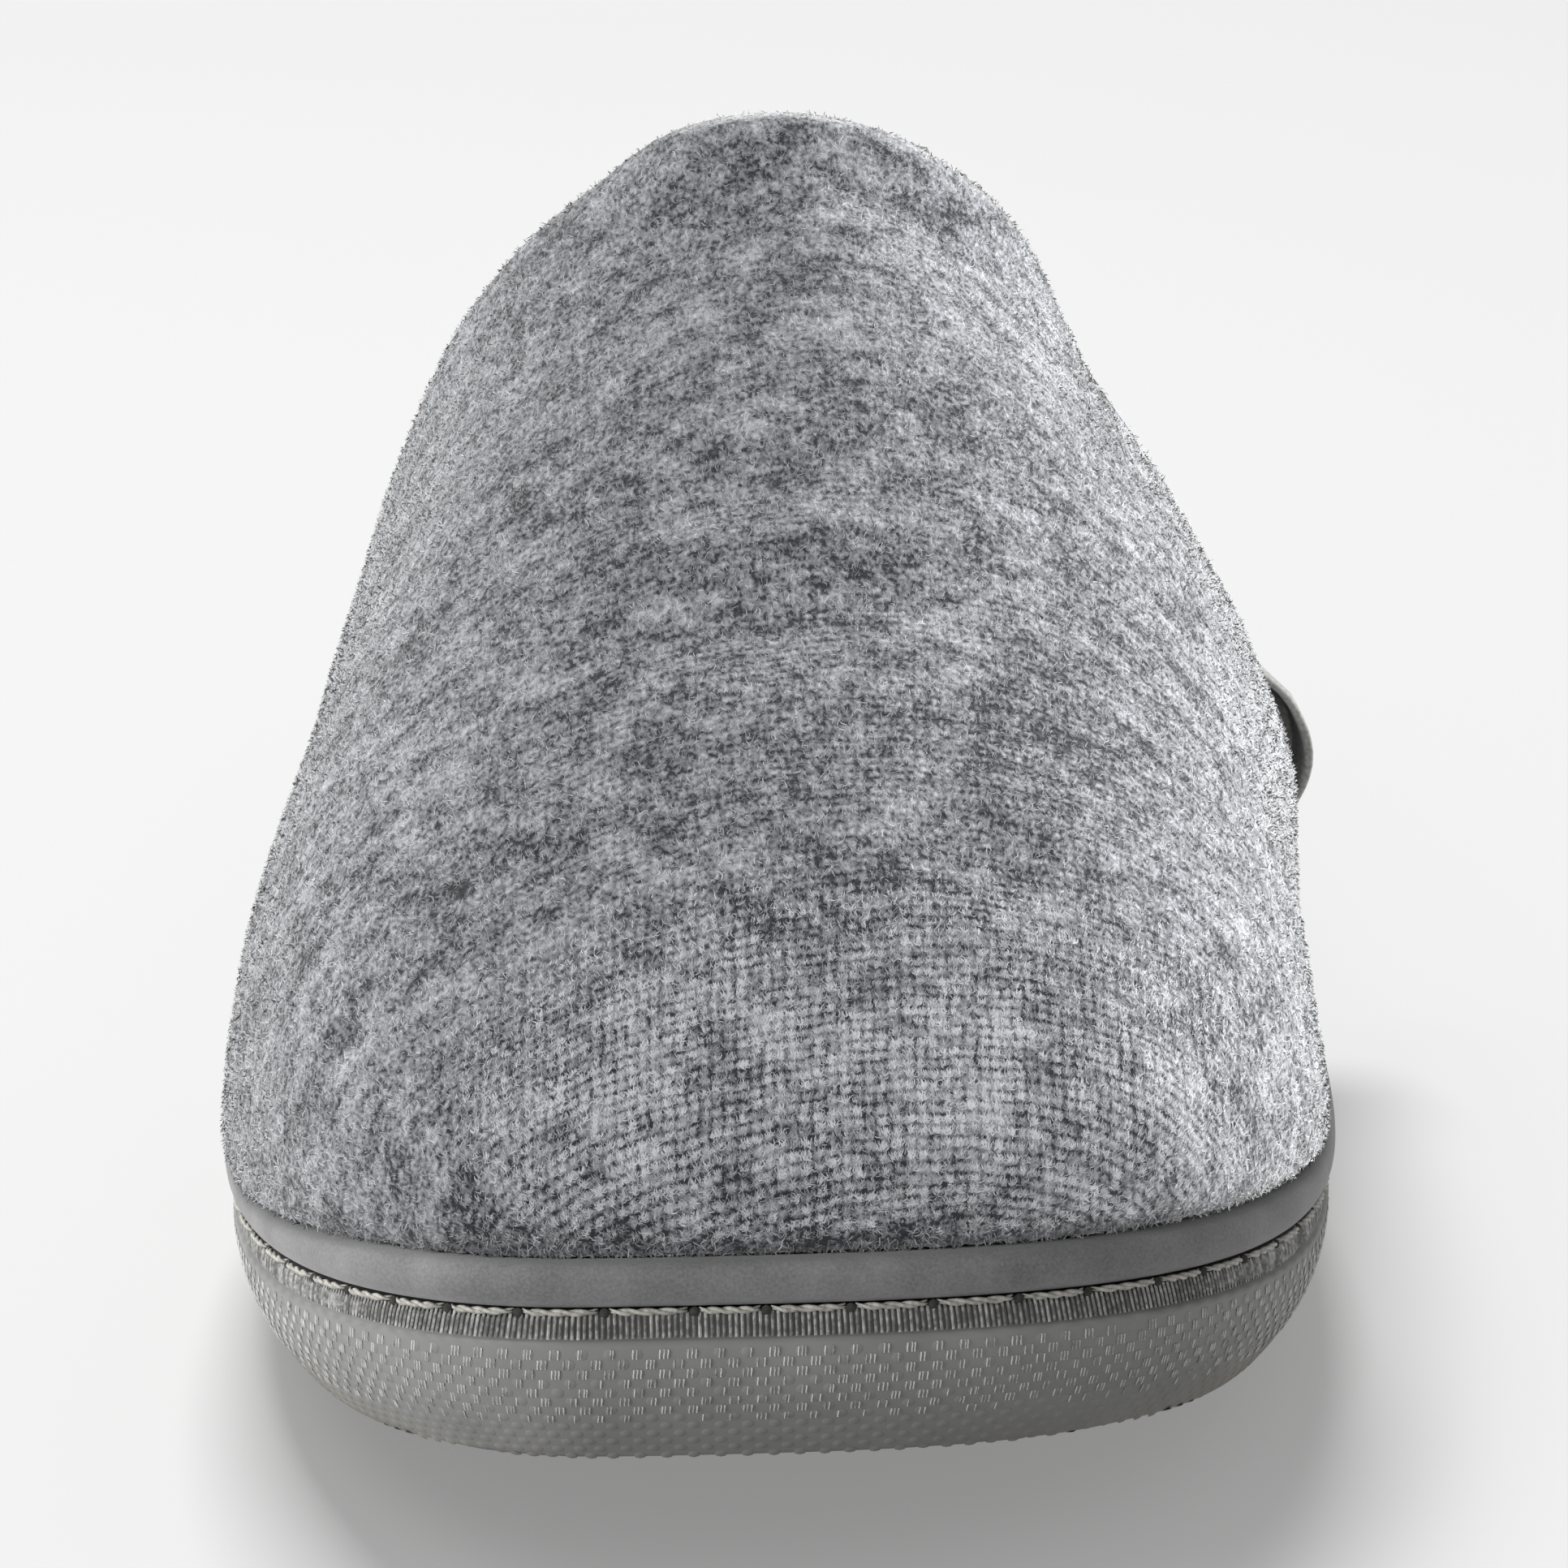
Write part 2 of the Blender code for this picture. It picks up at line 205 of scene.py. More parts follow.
# %% Lamps
LAMPS = (
    # name, place, width and depth in metres, watts, what it lights
    ("key", (-0.75, -0.10, 1.30), (0.7, 0.7), 4.0, "both"),
    ("front_panel", (0.0, -1.00, 0.50), (0.6, 0.6), 4.3, "knit"),
    ("left_panel", (-0.75, 0.30, 0.28), (0.5, 0.5), 5.0, "shoe"),
    ("right_panel", (0.75, 0.25, 0.28), (0.5, 0.5), 16.0, "knit"),
    ("low_panel", (-0.62, -0.50, 0.25), (0.4, 0.4), 5.5, "sole"),
    ("table_lamp", (-0.24, 1.15, 1.90), (1.0, 0.8), 138.0, "table"),
)
LAMP_TARGET = Vector((0, -0.05, 0.05))

lit = {group: bpy.data.collections.new("lit_" + group) for group in ("shoe", "table", "knit", "sole")}
for group, state in (("shoe", "EXCLUDE"), ("table", "INCLUDE")):
    lit[group].objects.link(floor)
    lit[group].collection_objects[0].light_linking.link_state = state
for name, place, (wide, deep), watts, group in LAMPS:
    lamp = bpy.data.lights.new(name, "AREA")
    lamp.shape = "RECTANGLE"
    lamp.size = wide
    lamp.size_y = deep
    lamp.energy = watts
    holder = bpy.data.objects.new(name, lamp)
    holder.location = place
    holder.rotation_euler = (LAMP_TARGET - Vector(place)).to_track_quat("-Z", "Y").to_euler()
    holder.visible_camera = False
    if group in lit:
        holder.light_linking.receiver_collection = lit[group]
    bpy.context.scene.collection.objects.link(holder)
print("lamps:", len(LAMPS))

# %% [markdown]
# ## From solid to soft form
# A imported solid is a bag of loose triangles. A copy has its doubled corners merged and its triangles
# paired back into squares, and is then rounded by the subdivision that also smooths a film character.
# Edges that the maker folds hard keep a crease.

# %% Smooth copies of the solids
HARD_EDGE = math.radians(38)
PAIR_BEND = math.radians(30)
PAIR_SKEW = math.radians(60)
SAME_POINT = 0.01 * MM
ROUNDING = 2


def cage(solid, crease):
    """Square-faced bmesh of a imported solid, with its hard edges creased."""
    shape = bmesh.new()
    shape.from_mesh(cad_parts[solid].data)
    bmesh.ops.remove_doubles(shape, verts=shape.verts, dist=SAME_POINT)
    for layer in list(shape.loops.layers.uv):
        shape.loops.layers.uv.remove(layer)
    bmesh.ops.join_triangles(
        shape, faces=shape.faces, angle_face_threshold=PAIR_BEND, angle_shape_threshold=PAIR_SKEW
    )
    creases = shape.edges.layers.float.new("crease_edge")
    for edge in shape.edges:
        if len(edge.link_faces) == 2 and edge.calc_face_angle() > HARD_EDGE:
            edge[creases] = crease
    return shape


def soft_form(name, shape):
    """Object whose mesh is the shape after subdivision, smooth shaded."""
    rough = bpy.data.objects.new(name + "_cage", bpy.data.meshes.new(name + "_cage"))
    shape.to_mesh(rough.data)
    shape.free()
    bpy.context.scene.collection.objects.link(rough)
    rounding = rough.modifiers.new("rounding", "SUBSURF")
    rounding.levels = rounding.render_levels = ROUNDING
    ready = rough.evaluated_get(bpy.context.evaluated_depsgraph_get())
    mesh = bpy.data.meshes.new_from_object(ready)
    mesh.name = name
    mesh.materials.clear()
    mesh.shade_smooth()
    bpy.data.objects.remove(rough)
    piece = bpy.data.objects.new(name, mesh)
    bpy.context.scene.collection.objects.link(piece)
    return piece


def finish_piece(piece, slot, *finishes):
    """Rides the piece on the shoe, links it to the lamps for its slot and gives it its materials."""
    for finish in finishes:
        piece.data.materials.append(finish)
    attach(piece, "root")
    lit["sole" if slot in ("sole", "piping") else "knit"].objects.link(piece)
    piece.data.calc_loop_triangles()
    print(piece.name, "triangles:", len(piece.data.loop_triangles))


def corners(piece):
    """Points of a piece as an array."""
    places = np.empty(len(piece.data.vertices) * 3, np.float32)
    piece.data.vertices.foreach_get("co", places)
    return places.reshape(-1, 3).astype(float)


# %% [markdown]
# ## The sole
# The sole is a soft foam slab wrapped in ribbed cloth, with a thin rubber coat pressed on up to a
# few millimetres below its top edge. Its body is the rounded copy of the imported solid.

# %% Sole body
sole = soft_form("sole_body", cage("sole", 0.95))
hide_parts("sole")
print("sole points:", len(sole.data.vertices))

# %% [markdown]
# ## A line round the sole
# Ribs, dots and stitches all follow the sole's top edge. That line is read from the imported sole: the
# edges between its flat top and its upright wall. Halving the steps three times with a four-point rule
# makes it smooth without leaving the points that it goes through.

# %% Edge line
TOP_FACING = 0.9
WALL_FACING = 0.3
EDGE_HALVINGS = 3
EDGE_STEP = 1.5 * MM
EDGE_THINNED = 4


def edge_line():
    """Points of the sole's top edge in order, as a smooth closed line."""
    shape = cage("sole", 0)
    ring = set()
    for edge in shape.edges:
        lifts = [face.normal.z for face in edge.link_faces]
        if max(lifts) > TOP_FACING and min(abs(lift) for lift in lifts) < WALL_FACING:
            ring.add(edge)
    here = next(iter(ring)).verts[0]
    line = []
    while ring:
        line.append(here.co.copy())
        step = next(edge for edge in here.link_edges if edge in ring)
        ring.remove(step)
        here = step.other_vert(here)
    shape.free()
    points = np.array(line)
    for _ in range(EDGE_HALVINGS):
        middle = (9 * (points + np.roll(points, -1, 0)) - np.roll(points, 1, 0) - np.roll(points, -2, 0)) / 16
        points = np.stack([points, middle], 1).reshape(-1, 3)
    return points


class Line:
    """Closed line that can be read at any distance along it."""

    def __init__(self, points):
        if np.sum(points[:, 0] * np.roll(points[:, 1], -1) - np.roll(points[:, 0], -1) * points[:, 1]) < 0:
            points = points[::-1]
        points = np.roll(points, -int(points[:, 1].argmin()), 0)
        closed = np.vstack([points, points[:1]])
        self.points = closed
        self.along = np.concatenate([[0], np.cumsum(np.linalg.norm(np.diff(closed, axis=0), axis=1))])
        self.length = self.along[-1]

    def at(self, distance):
        """Places at each distance."""
        wrapped = np.mod(distance, self.length)
        return np.stack([np.interp(wrapped, self.along, self.points[:, i]) for i in range(3)], -1)

    def frames(self, distance):
        """Place, direction along and direction outwards at each distance."""
        along = self.at(distance + EDGE_STEP) - self.at(distance - EDGE_STEP)
        along /= np.linalg.norm(along, axis=-1, keepdims=True)
        out = np.cross(along, (0, 0, 1))
        out /= np.linalg.norm(out, axis=-1, keepdims=True)
        return self.at(distance), along, out


def edge_height(points):
    """Height of the sole's top edge beside each point."""
    ring = edge.points[:-1:EDGE_THINNED]
    apart = ((points[:, None, :2] - ring[None, :, :2]) ** 2).sum(2)
    return ring[apart.argmin(1), 2]


edge = Line(edge_line())
print("edge line, mm:", round(edge.length / MM, 1))

# %% [markdown]
# ## Small things in large numbers
# A rib, a dot or a fibre is modelled once and then set down hundreds of times. The copies are written
# straight into one mesh with array sums, because thousands of separate objects would slow everything
# down. A point attribute called shade gives every copy a tone of its own.

# %% Repeat a small shape


def shape_arrays(shape):
    """Points and corner lists of a bmesh, which is then freed."""
    shape.verts.index_update()
    points = np.array([vert.co for vert in shape.verts])
    faces = [[vert.index for vert in face.verts] for face in shape.faces]
    shape.free()
    return points, faces


def joined(name, clouds, faces, shades):
    """Object of many copies: clouds is (copies, points, 3), each with the same faces and its own shade."""
    copies, size = clouds.shape[:2]
    lengths = np.tile([len(face) for face in faces], copies)
    flat = np.concatenate(faces)
    corner = (np.arange(copies)[:, None] * size + flat[None]).ravel()
    mesh = bpy.data.meshes.new(name)
    mesh.vertices.add(copies * size)
    mesh.vertices.foreach_set("co", clouds.astype(np.float32).ravel())
    mesh.loops.add(len(corner))
    mesh.loops.foreach_set("vertex_index", corner.astype(np.int32))
    mesh.polygons.add(len(lengths))
    mesh.polygons.foreach_set("loop_start", (np.cumsum(lengths) - lengths).astype(np.int32))
    mesh.update(calc_edges=True)
    note(mesh, "shade", np.repeat(shades, size))
    mesh.shade_smooth()
    piece = bpy.data.objects.new(name, mesh)
    bpy.context.scene.collection.objects.link(piece)
    return piece


def note(mesh, name, values):
    """Writes one number for each point to the mesh, for its material to read."""
    layer = mesh.attributes.new(name, "FLOAT", "POINT")
    layer.data.foreach_set("value", values.astype(np.float32))


def set_down(points, places, across, up, out):
    """Copies of the points with their x, y, z along across, up and out at each place."""
    clouds = points[None, :, 0, None] * across[:, None]
    clouds = clouds + points[None, :, 1, None] * up[:, None]
    clouds = clouds + points[None, :, 2, None] * out[:, None]
    return clouds + places[:, None]


def surface(piece):
    """Search tree of a piece's faces."""
    return BVHTree.FromPolygons(
        [vert.co for vert in piece.data.vertices], [poly.vertices[:] for poly in piece.data.polygons]
    )


# %% [markdown]
# ## Rubber coat
# Moulded rubber with a dull, slightly uneven skin. Fine grain breaks the light, and the tone goes from
# a neutral grey to a warmer olive grey at the bottom edge, where the coat is thicker and yellower. The
# bare band at the top is painted darker: partly the bare cloth's own tone, partly painted shade in the
# ground between the ribs that come next.

# %% Sole finish
COAT_GREY = "#6f6f6e"
COAT_WARM = "#7c776a"
COAT_WARM_Z = (1 * MM, 14 * MM)
COAT_GRAIN_MM = 0.35
COAT_CLOUD_MM = 9
TAPE_CLOTH_AND_SHADE = "#50504e"
TAPE_HEIGHT = 2.5 * MM
TAPE_FADE = 0.5 * MM

# Rubber pressed on cloth: a broad dull shine, broken up by the grain.
rubber, tree, shader = material("coated_cloth_rubber", Roughness=0.62, IOR=1.5)
place = node(tree, "ShaderNodeTexCoord").outputs["Object"]
height = node(tree, "ShaderNodeSeparateXYZ", [(0, place)]).outputs["Z"]
low = node(tree, RANGE, [(0, height), (1, COAT_WARM_Z[0]), (2, COAT_WARM_Z[1]), (3, 1.0), (4, 0.0)])
inputs = [("Vector", place), ("Scale", 1 / (COAT_GRAIN_MM * MM)), ("Detail", 3.0)]
grain = node(tree, "ShaderNodeTexNoise", inputs)
inputs = [("Vector", place), ("Scale", 1 / (COAT_CLOUD_MM * MM)), ("Detail", 2.0)]
cloud = node(tree, "ShaderNodeTexNoise", inputs)
warm = node(tree, MIX, [(0, low.outputs[0]), (1, linear(COAT_GREY)), (2, linear(COAT_WARM))])
uneven = node(tree, RANGE, [(0, cloud.outputs[0]), (1, 0.3), (2, 0.7), (3, 0.9), (4, 1.08)])
toned = node(tree, "ShaderNodeVectorMath", [(0, warm.outputs[0]), (3, uneven.outputs[0])], operation="SCALE")
# Painted shade: the bare band is darkened, partly for its own cloth tone, partly as shade between the ribs.
band = node(tree, "ShaderNodeAttribute", attribute_name="band").outputs["Fac"]
toned = node(tree, MIX, [(0, band), (1, toned.outputs[0]), (2, linear(TAPE_CLOTH_AND_SHADE))])
tree.links.new(toned.outputs[0], shader.inputs["Base Color"])
inputs = [("Strength", 0.25), ("Distance", 0.05 * MM), ("Height", grain.outputs[0])]
rough = node(tree, "ShaderNodeBump", inputs)
tree.links.new(rough.outputs[0], shader.inputs["Normal"])
skin_points = corners(sole)
below = edge_height(skin_points) - skin_points[:, 2]
note(sole.data, "band", np.clip(1 - (below - TAPE_HEIGHT) / TAPE_FADE, 0, 1))
finish_piece(sole, "sole", rubber)

# %% [markdown]
# ## Ribbed tape
# Above the coat the cloth is bare: a band of fine upright ribs. A bump in the material could draw them,
# but close up they catch the light one by one, so each rib is a small rounded bar. Round the toe the bars
# lean outwards at the foot, as cloth does when it is pulled round a corner.

# %% Tape ribs
RIB_PITCH = 0.54 * MM
RIB_WIDTH = 0.30 * MM
RIB_HEIGHT = 2.5 * MM
RIB_DEPTH = 0.22 * MM
RIB_DROP = 0.05 * MM
RIB_STEPS = 4
RIB_LEAN = 0.42
LEAN_LIMIT = 0.8
LEAN_END_Y = 0.02
LEAN_FADE = 0.06


def bar(width, height, depth, steps):
    """Rounded bar lying on the xy plane, its long way along y, made in a few steps."""
    shape = bmesh.new()
    bmesh.ops.create_grid(shape, x_segments=2, y_segments=steps, size=0.5)
    for vert in shape.verts:
        rise = (1 - (2 * vert.co.x) ** 2) * (1 - abs(2 * vert.co.y) ** 4)
        vert.co = (vert.co.x * width, vert.co.y * height, depth * max(0.0, rise))
    return shape_arrays(shape)


def lean(out, place):
    """How far ribs lean along the edge: outwards at the toe's corners, upright behind the ball."""
    fade = np.clip((LEAN_END_Y - place[:, 1]) / LEAN_FADE, 0, 1)
    return RIB_LEAN * np.clip(out[:, 0], -LEAN_LIMIT, LEAN_LIMIT) * fade


count = int(edge.length / RIB_PITCH)
places, along, out = edge.frames(np.arange(count) * edge.length / count)
up = np.tile((0.0, 0.0, 1.0), (count, 1))
upright = up - along * lean(out, places)[:, None]
upright /= np.linalg.norm(upright, axis=1, keepdims=True)
middle = places - up * (RIB_HEIGHT / 2 + RIB_DROP)
points, faces = bar(RIB_WIDTH, RIB_HEIGHT, RIB_DEPTH, RIB_STEPS)
ribs = joined("tape_ribs", set_down(points, middle, along, upright, out), faces, rng.random(count))
print("ribs:", count)

# %% [markdown]
# ## Rib tone
# The yarn of the ribs is paler than the ground under it, and no two ribs take the dye alike. Each rib's
# own shade is added to a noise the size of a thread, and the sum picks a tone between two greys.

# %% Tape finish
RIB_LIGHT = "#b4b4b1"
RIB_DARK = "#585856"
RIB_THREAD_MM = 0.6
RIB_OWN_SHARE = 0.25

# Polyester yarn: a little smoother than cotton, so the ribs keep a faint shine.
ribbed, tree, shader = material("ribbed_polyester_tape", Roughness=0.7)
tone = node(tree, "ShaderNodeAttribute", attribute_name="shade").outputs["Fac"]
place = node(tree, "ShaderNodeTexCoord").outputs["Object"]
inputs = [("Vector", place), ("Scale", 1 / (RIB_THREAD_MM * MM)), ("Detail", 3.0)]
thread = node(tree, "ShaderNodeTexNoise", inputs)
inputs = [(0, tone), (1, RIB_OWN_SHARE), (2, thread.outputs[0])]
blend = node(tree, MATH, inputs, operation="MULTIPLY_ADD")
light = node(tree, RANGE, [(0, blend.outputs[0]), (1, 0.50), (2, 1.00)])
colour = node(tree, MIX, [(0, light.outputs[0]), (1, linear(RIB_DARK)), (2, linear(RIB_LIGHT))])
tree.links.new(colour.outputs[0], shader.inputs["Base Color"])
finish_piece(ribs, "sole", ribbed)

# %% [markdown]
# ## Raised dots
# The coat is studded with low round dots in staggered rows. A dot is a disc, inset once and lifted. Its
# place is found by looking at the sole from outside, level with its row, so that every dot sits on
# the rounded wall and faces the way the wall does.

# %% Wall dots
DOT_PITCH = 2.45 * MM
DOT_ROW = 1.0 * MM
DOT_WIDTH = 1.2 * MM
DOT_LIFT = 0.085 * MM
DOT_INSET = 0.2
DOT_SIDES = 8
DOT_TOP = 3.9 * MM
DOT_ROWS = 13
DOT_FLOOR = 1.0 * MM
LOOK_FROM = 20 * MM


def dome(width, lift):
    """Low round dome on the xy plane."""
    shape = bmesh.new()
    bmesh.ops.create_circle(shape, cap_ends=True, radius=width / 2, segments=DOT_SIDES)
    bmesh.ops.inset_region(shape, faces=shape.faces, thickness=DOT_INSET * width, use_boundary=True)
    top = max(shape.faces, key=lambda face: len(face.verts))
    bmesh.ops.translate(shape, verts=top.verts, vec=(0, 0, lift))
    return shape_arrays(shape)


def wall_places():
    """Place, along, up, out and row of every dot."""
    skin = surface(sole)
    found = []
    per_row = int(edge.length / DOT_PITCH)
    for row in range(DOT_ROWS):
        distance = (np.arange(per_row) + 0.5 * (row % 2)) * edge.length / per_row
        tops, along, out = edge.frames(distance)
        for top, run, away in zip(tops, along, out):
            start = Vector(top + away * LOOK_FROM - np.array((0, 0, DOT_TOP + row * DOT_ROW)))
            place, normal, _, _ = skin.ray_cast(start, Vector(-away))
            if place is not None and min(start.z, place.z) >= DOT_FLOOR:
                found.append((place, run, normal, row))
    places, run, normal, rows = (np.array([dot[i] for dot in found]) for i in range(4))
    return places, run, np.cross(normal, run), normal, rows


places, along, climb, normal, rows = wall_places()
points, faces = dome(DOT_WIDTH, DOT_LIFT)
dots = joined("wall_dots", set_down(points, places, along, climb, normal), faces, rng.random(len(places)))
finish_piece(dots, "sole", rubber)

# %% [markdown]
# ## Strokes on the dots
# The cloth's ribs show through the thin coat as fine light strokes, two or three on each dot, and fade
# out down the wall. A stroke is the rib's bar again, much smaller and slightly waved. Some are left
# out and all are shifted a little, because a stamped pattern would look printed.

# %% Dot strokes
STROKE_SIZE = (0.14 * MM, 0.95 * MM, 0.10 * MM)
STROKE_STEPS = 3
STROKE_WAVE = 0.035 * MM
WAVES_PER_MM = 5
STROKE_SINK = 0.9
STROKE_ROWS = 7
ROWS_FADE = 0.7
STROKES = (-0.35, 0.0, 0.35)
STROKES_KEPT = 0.82
STROKE_SHIFT = 0.04
STROKE_TONES = (0.9, 2.2)

points, faces = bar(*STROKE_SIZE, STROKE_STEPS)
points[:, 0] += STROKE_WAVE * np.sin(points[:, 1] / MM * WAVES_PER_MM)
slanted = climb - along * lean(normal, places)[:, None]
lifted = places + normal * (DOT_LIFT * STROKE_SINK)
clouds = []
for share in STROKES:
    fading = rows + rng.uniform(-ROWS_FADE, ROWS_FADE, len(rows))
    worn = (fading < STROKE_ROWS) & (rng.random(len(rows)) < STROKES_KEPT)
    spot = lifted + along * (share * MM + rng.normal(0, STROKE_SHIFT, len(rows)) * MM)[:, None]
    clouds.append(set_down(points, spot[worn], along[worn], slanted[worn], normal[worn]))
clouds = np.concatenate(clouds)
strokes = joined("dot_strokes", clouds, faces, rng.uniform(*STROKE_TONES, len(clouds)))
finish_piece(strokes, "sole", ribbed)

# %% [markdown]
# ## Tread
# The sole's underside is hidden when the shoe stands, but soft slippers have small rubber dots there so
# that they do not slip. They are the wall's dots, larger and wider apart, set down from below wherever
# the sole is nearly level and a dot stays clear of the table.

# %% Tread dots
TREAD_PITCH = 6.0 * MM
TREAD_WIDTH = 2.4 * MM
TREAD_LIFT = 0.12 * MM
TREAD_FLAT = 0.975
TREAD_FRONT = -105 * MM
TREAD_STAGGER = 0.866
TABLE_SHARE = 0.8

skin = surface(sole)
sole_low, sole_high = (np.array(corner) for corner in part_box("sole"))
found = []
for row, y in enumerate(np.arange(sole_low[1], sole_high[1], TREAD_PITCH * TREAD_STAGGER)):
    for x in np.arange(sole_low[0], sole_high[0], TREAD_PITCH) + 0.5 * TREAD_PITCH * (row % 2):
        place, normal, _, _ = skin.ray_cast(Vector((x, y, -0.01)), Vector((0, 0, 1)))
        if place is None or -normal.z < TREAD_FLAT or y < TREAD_FRONT:
            continue
        drop = TREAD_LIFT + TREAD_WIDTH / 2 * math.sqrt(max(0.0, 1 - normal.z**2))
        if place.z > drop - TABLE_SHARE * FLOOR_DROP:
            found.append((place, normal))
places, normal = (np.array([dot[i] for dot in found]) for i in range(2))
along = np.cross(normal, (0.0, 1.0, 0.0))
along /= np.linalg.norm(along, axis=1, keepdims=True)
points, faces = dome(TREAD_WIDTH, TREAD_LIFT)
clouds = set_down(points, places, along, np.cross(normal, along), normal)
tread = joined("tread_dots", clouds, faces, rng.random(len(places)))
finish_piece(tread, "sole", rubber)

# %% [markdown]
# ## Piping
# A strip of smooth velour rolled round a cord and sewn in between upper and sole. Its rounded copy only
# needs a fine short pile: soft sheen, a little mottling and almost no gloss. The attribute called joint
# is written further down, once the knit lies on the piping, and paints shade along the line where they
# meet: painted shade of the overhang.

# %% Piping
PIPING_GREY = "#707070"
PIPING_SHADE = "#4e4e4e"
JOINT_PAINTED_SHADE = "#1e1e1e"
PILE_MM = 0.3
PILE_PATCH_MM = 6

piping = soft_form("piping_roll", cage("piping", 0))
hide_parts("piping")
# Velour: the upright pile swallows highlights and gives the roll a soft pale rim instead.
velour, tree, shader = material(
    "short_pile_velour", Roughness=0.8, Sheen_Weight=0.25, Sheen_Roughness=0.5, Specular_IOR_Level=0.25
)
place = node(tree, "ShaderNodeTexCoord").outputs["Object"]
inputs = [("Vector", place), ("Scale", 1 / (PILE_MM * MM)), ("Detail", 3.0)]
pile = node(tree, "ShaderNodeTexNoise", inputs)
inputs = [("Vector", place), ("Scale", 1 / (PILE_PATCH_MM * MM)), ("Detail", 2.0)]
patch = node(tree, "ShaderNodeTexNoise", inputs)
both = node(tree, MATH, [(0, pile.outputs[0]), (1, patch.outputs[0])], operation="ADD")
spread = node(tree, RANGE, [(0, both.outputs[0]), (1, 0.6), (2, 1.4)])
colour = node(tree, MIX, [(0, spread.outputs[0]), (1, linear(PIPING_SHADE)), (2, linear(PIPING_GREY))])
# Painted shade on the joint: darker the nearer the knit lies.
joint = node(tree, "ShaderNodeAttribute", attribute_name="joint").outputs["Fac"]
colour = node(tree, MIX, [(0, joint), (1, colour.outputs[0]), (2, linear(JOINT_PAINTED_SHADE))])
tree.links.new(colour.outputs[0], shader.inputs["Base Color"])
inputs = [("Strength", 0.3), ("Distance", 0.05 * MM), ("Height", pile.outputs[0])]
bumps = node(tree, "ShaderNodeBump", inputs)
tree.links.new(bumps.outputs[0], shader.inputs["Normal"])
finish_piece(piping, "piping", velour)

# %% [markdown]
# ## Saddle stitches
# A thick two-ply thread closes the seam under the piping. One stitch is two strands twisted round each
# other, thin at the ends where it dives into its hole. It is bent to the edge line for each stitch, and
# the lengths vary a little, as they do by hand.

# %% Stitches
STITCH_LENGTH = 6.6 * MM
STITCH_GAP = 0.8 * MM
STITCH_SHIFT = 0.6 * MM
GAP_SHARES = (0.8, 1.3)
PLY_RADIUS = 0.22 * MM
PLY_APART = 0.65
PLY_SIDES = 6
PLY_END = 0.35
PLY_SWELL = 5
TWIST_LENGTH = 3.4 * MM
STITCH_OUT = 0.32 * MM
STITCH_LIFT = 0.20 * MM
STITCH_DIVE = 0.5 * MM
STITCH_STEPS = 20


def twisted_pair():
    """Two strands round the x axis, from x = 0 to 1; y points up and z out, both in metres."""
    shape = bmesh.new()
    turned = Matrix(((0, 0, 1), (1, 0, 0), (0, 1, 0))).to_4x4()
    for turn in (0.0, math.pi):
        rings = []
        for i in range(STITCH_STEPS + 1):
            share = i / STITCH_STEPS
            angle = turn + 2 * math.pi * share * STITCH_LENGTH / TWIST_LENGTH
            plump = min(1.0, PLY_END + PLY_SWELL * min(share, 1 - share))
            ring = bmesh.ops.create_circle(shape, radius=PLY_RADIUS * plump, segments=PLY_SIDES)["verts"]
            bmesh.ops.transform(shape, matrix=turned, verts=ring)
            apart = PLY_APART * PLY_RADIUS
            middle = (share, apart * math.cos(angle), apart * math.sin(angle))
            bmesh.ops.translate(shape, verts=ring, vec=middle)
            rings.append(ring)
        for low_ring, high_ring in zip(rings, rings[1:]):
            for k in range(PLY_SIDES):
                after = (k + 1) % PLY_SIDES
                shape.faces.new((low_ring[k], low_ring[after], high_ring[after], high_ring[k]))
        shape.faces.new(rings[0][::-1])
        shape.faces.new(rings[-1])
    bmesh.ops.recalc_face_normals(shape, faces=shape.faces)
    return shape_arrays(shape)


points, faces = twisted_pair()
count = int(edge.length / (STITCH_LENGTH + STITCH_GAP))
pitch = edge.length / count
starts = np.arange(count) * pitch + rng.uniform(-1, 1, count) * STITCH_SHIFT
lengths = np.roll(starts, -1) - starts
lengths[-1] += edge.length
lengths -= STITCH_GAP * rng.uniform(*GAP_SHARES, count)
distance = starts[:, None] + lengths[:, None] * points[None, :, 0]
line, along, out = edge.frames(distance.ravel())
line, out = line.reshape(count, -1, 3), out.reshape(count, -1, 3)
ends = 1 - np.abs(2 * points[:, 0] - 1) ** 6
lift = points[:, 1] + STITCH_LIFT
depth = points[:, 2] + STITCH_OUT - STITCH_DIVE * (1 - ends)
clouds = line + out * depth[None, :, None] + np.array((0, 0, 1.0)) * lift[None, :, None]
stitches = joined("edge_stitches", clouds, faces, rng.random(count))
print("stitches:", count)

# %% [markdown]
# ## Mottled finishes
# Thread, the painted shade in needle holes, brushed cloth and tape have one thing in common: up close
# their tone wanders between a dark and a light grey, in spots as wide as their yarn. One function makes
# such a material, with a relief from the same spots where the cloth is fuzzy. The thread is the first
# to use it.

# %% Thread finish
THREAD_LIGHT = "#9c9a93"
THREAD_SHADE = "#6b6a64"
THREAD_FIBRE_MM = 0.5


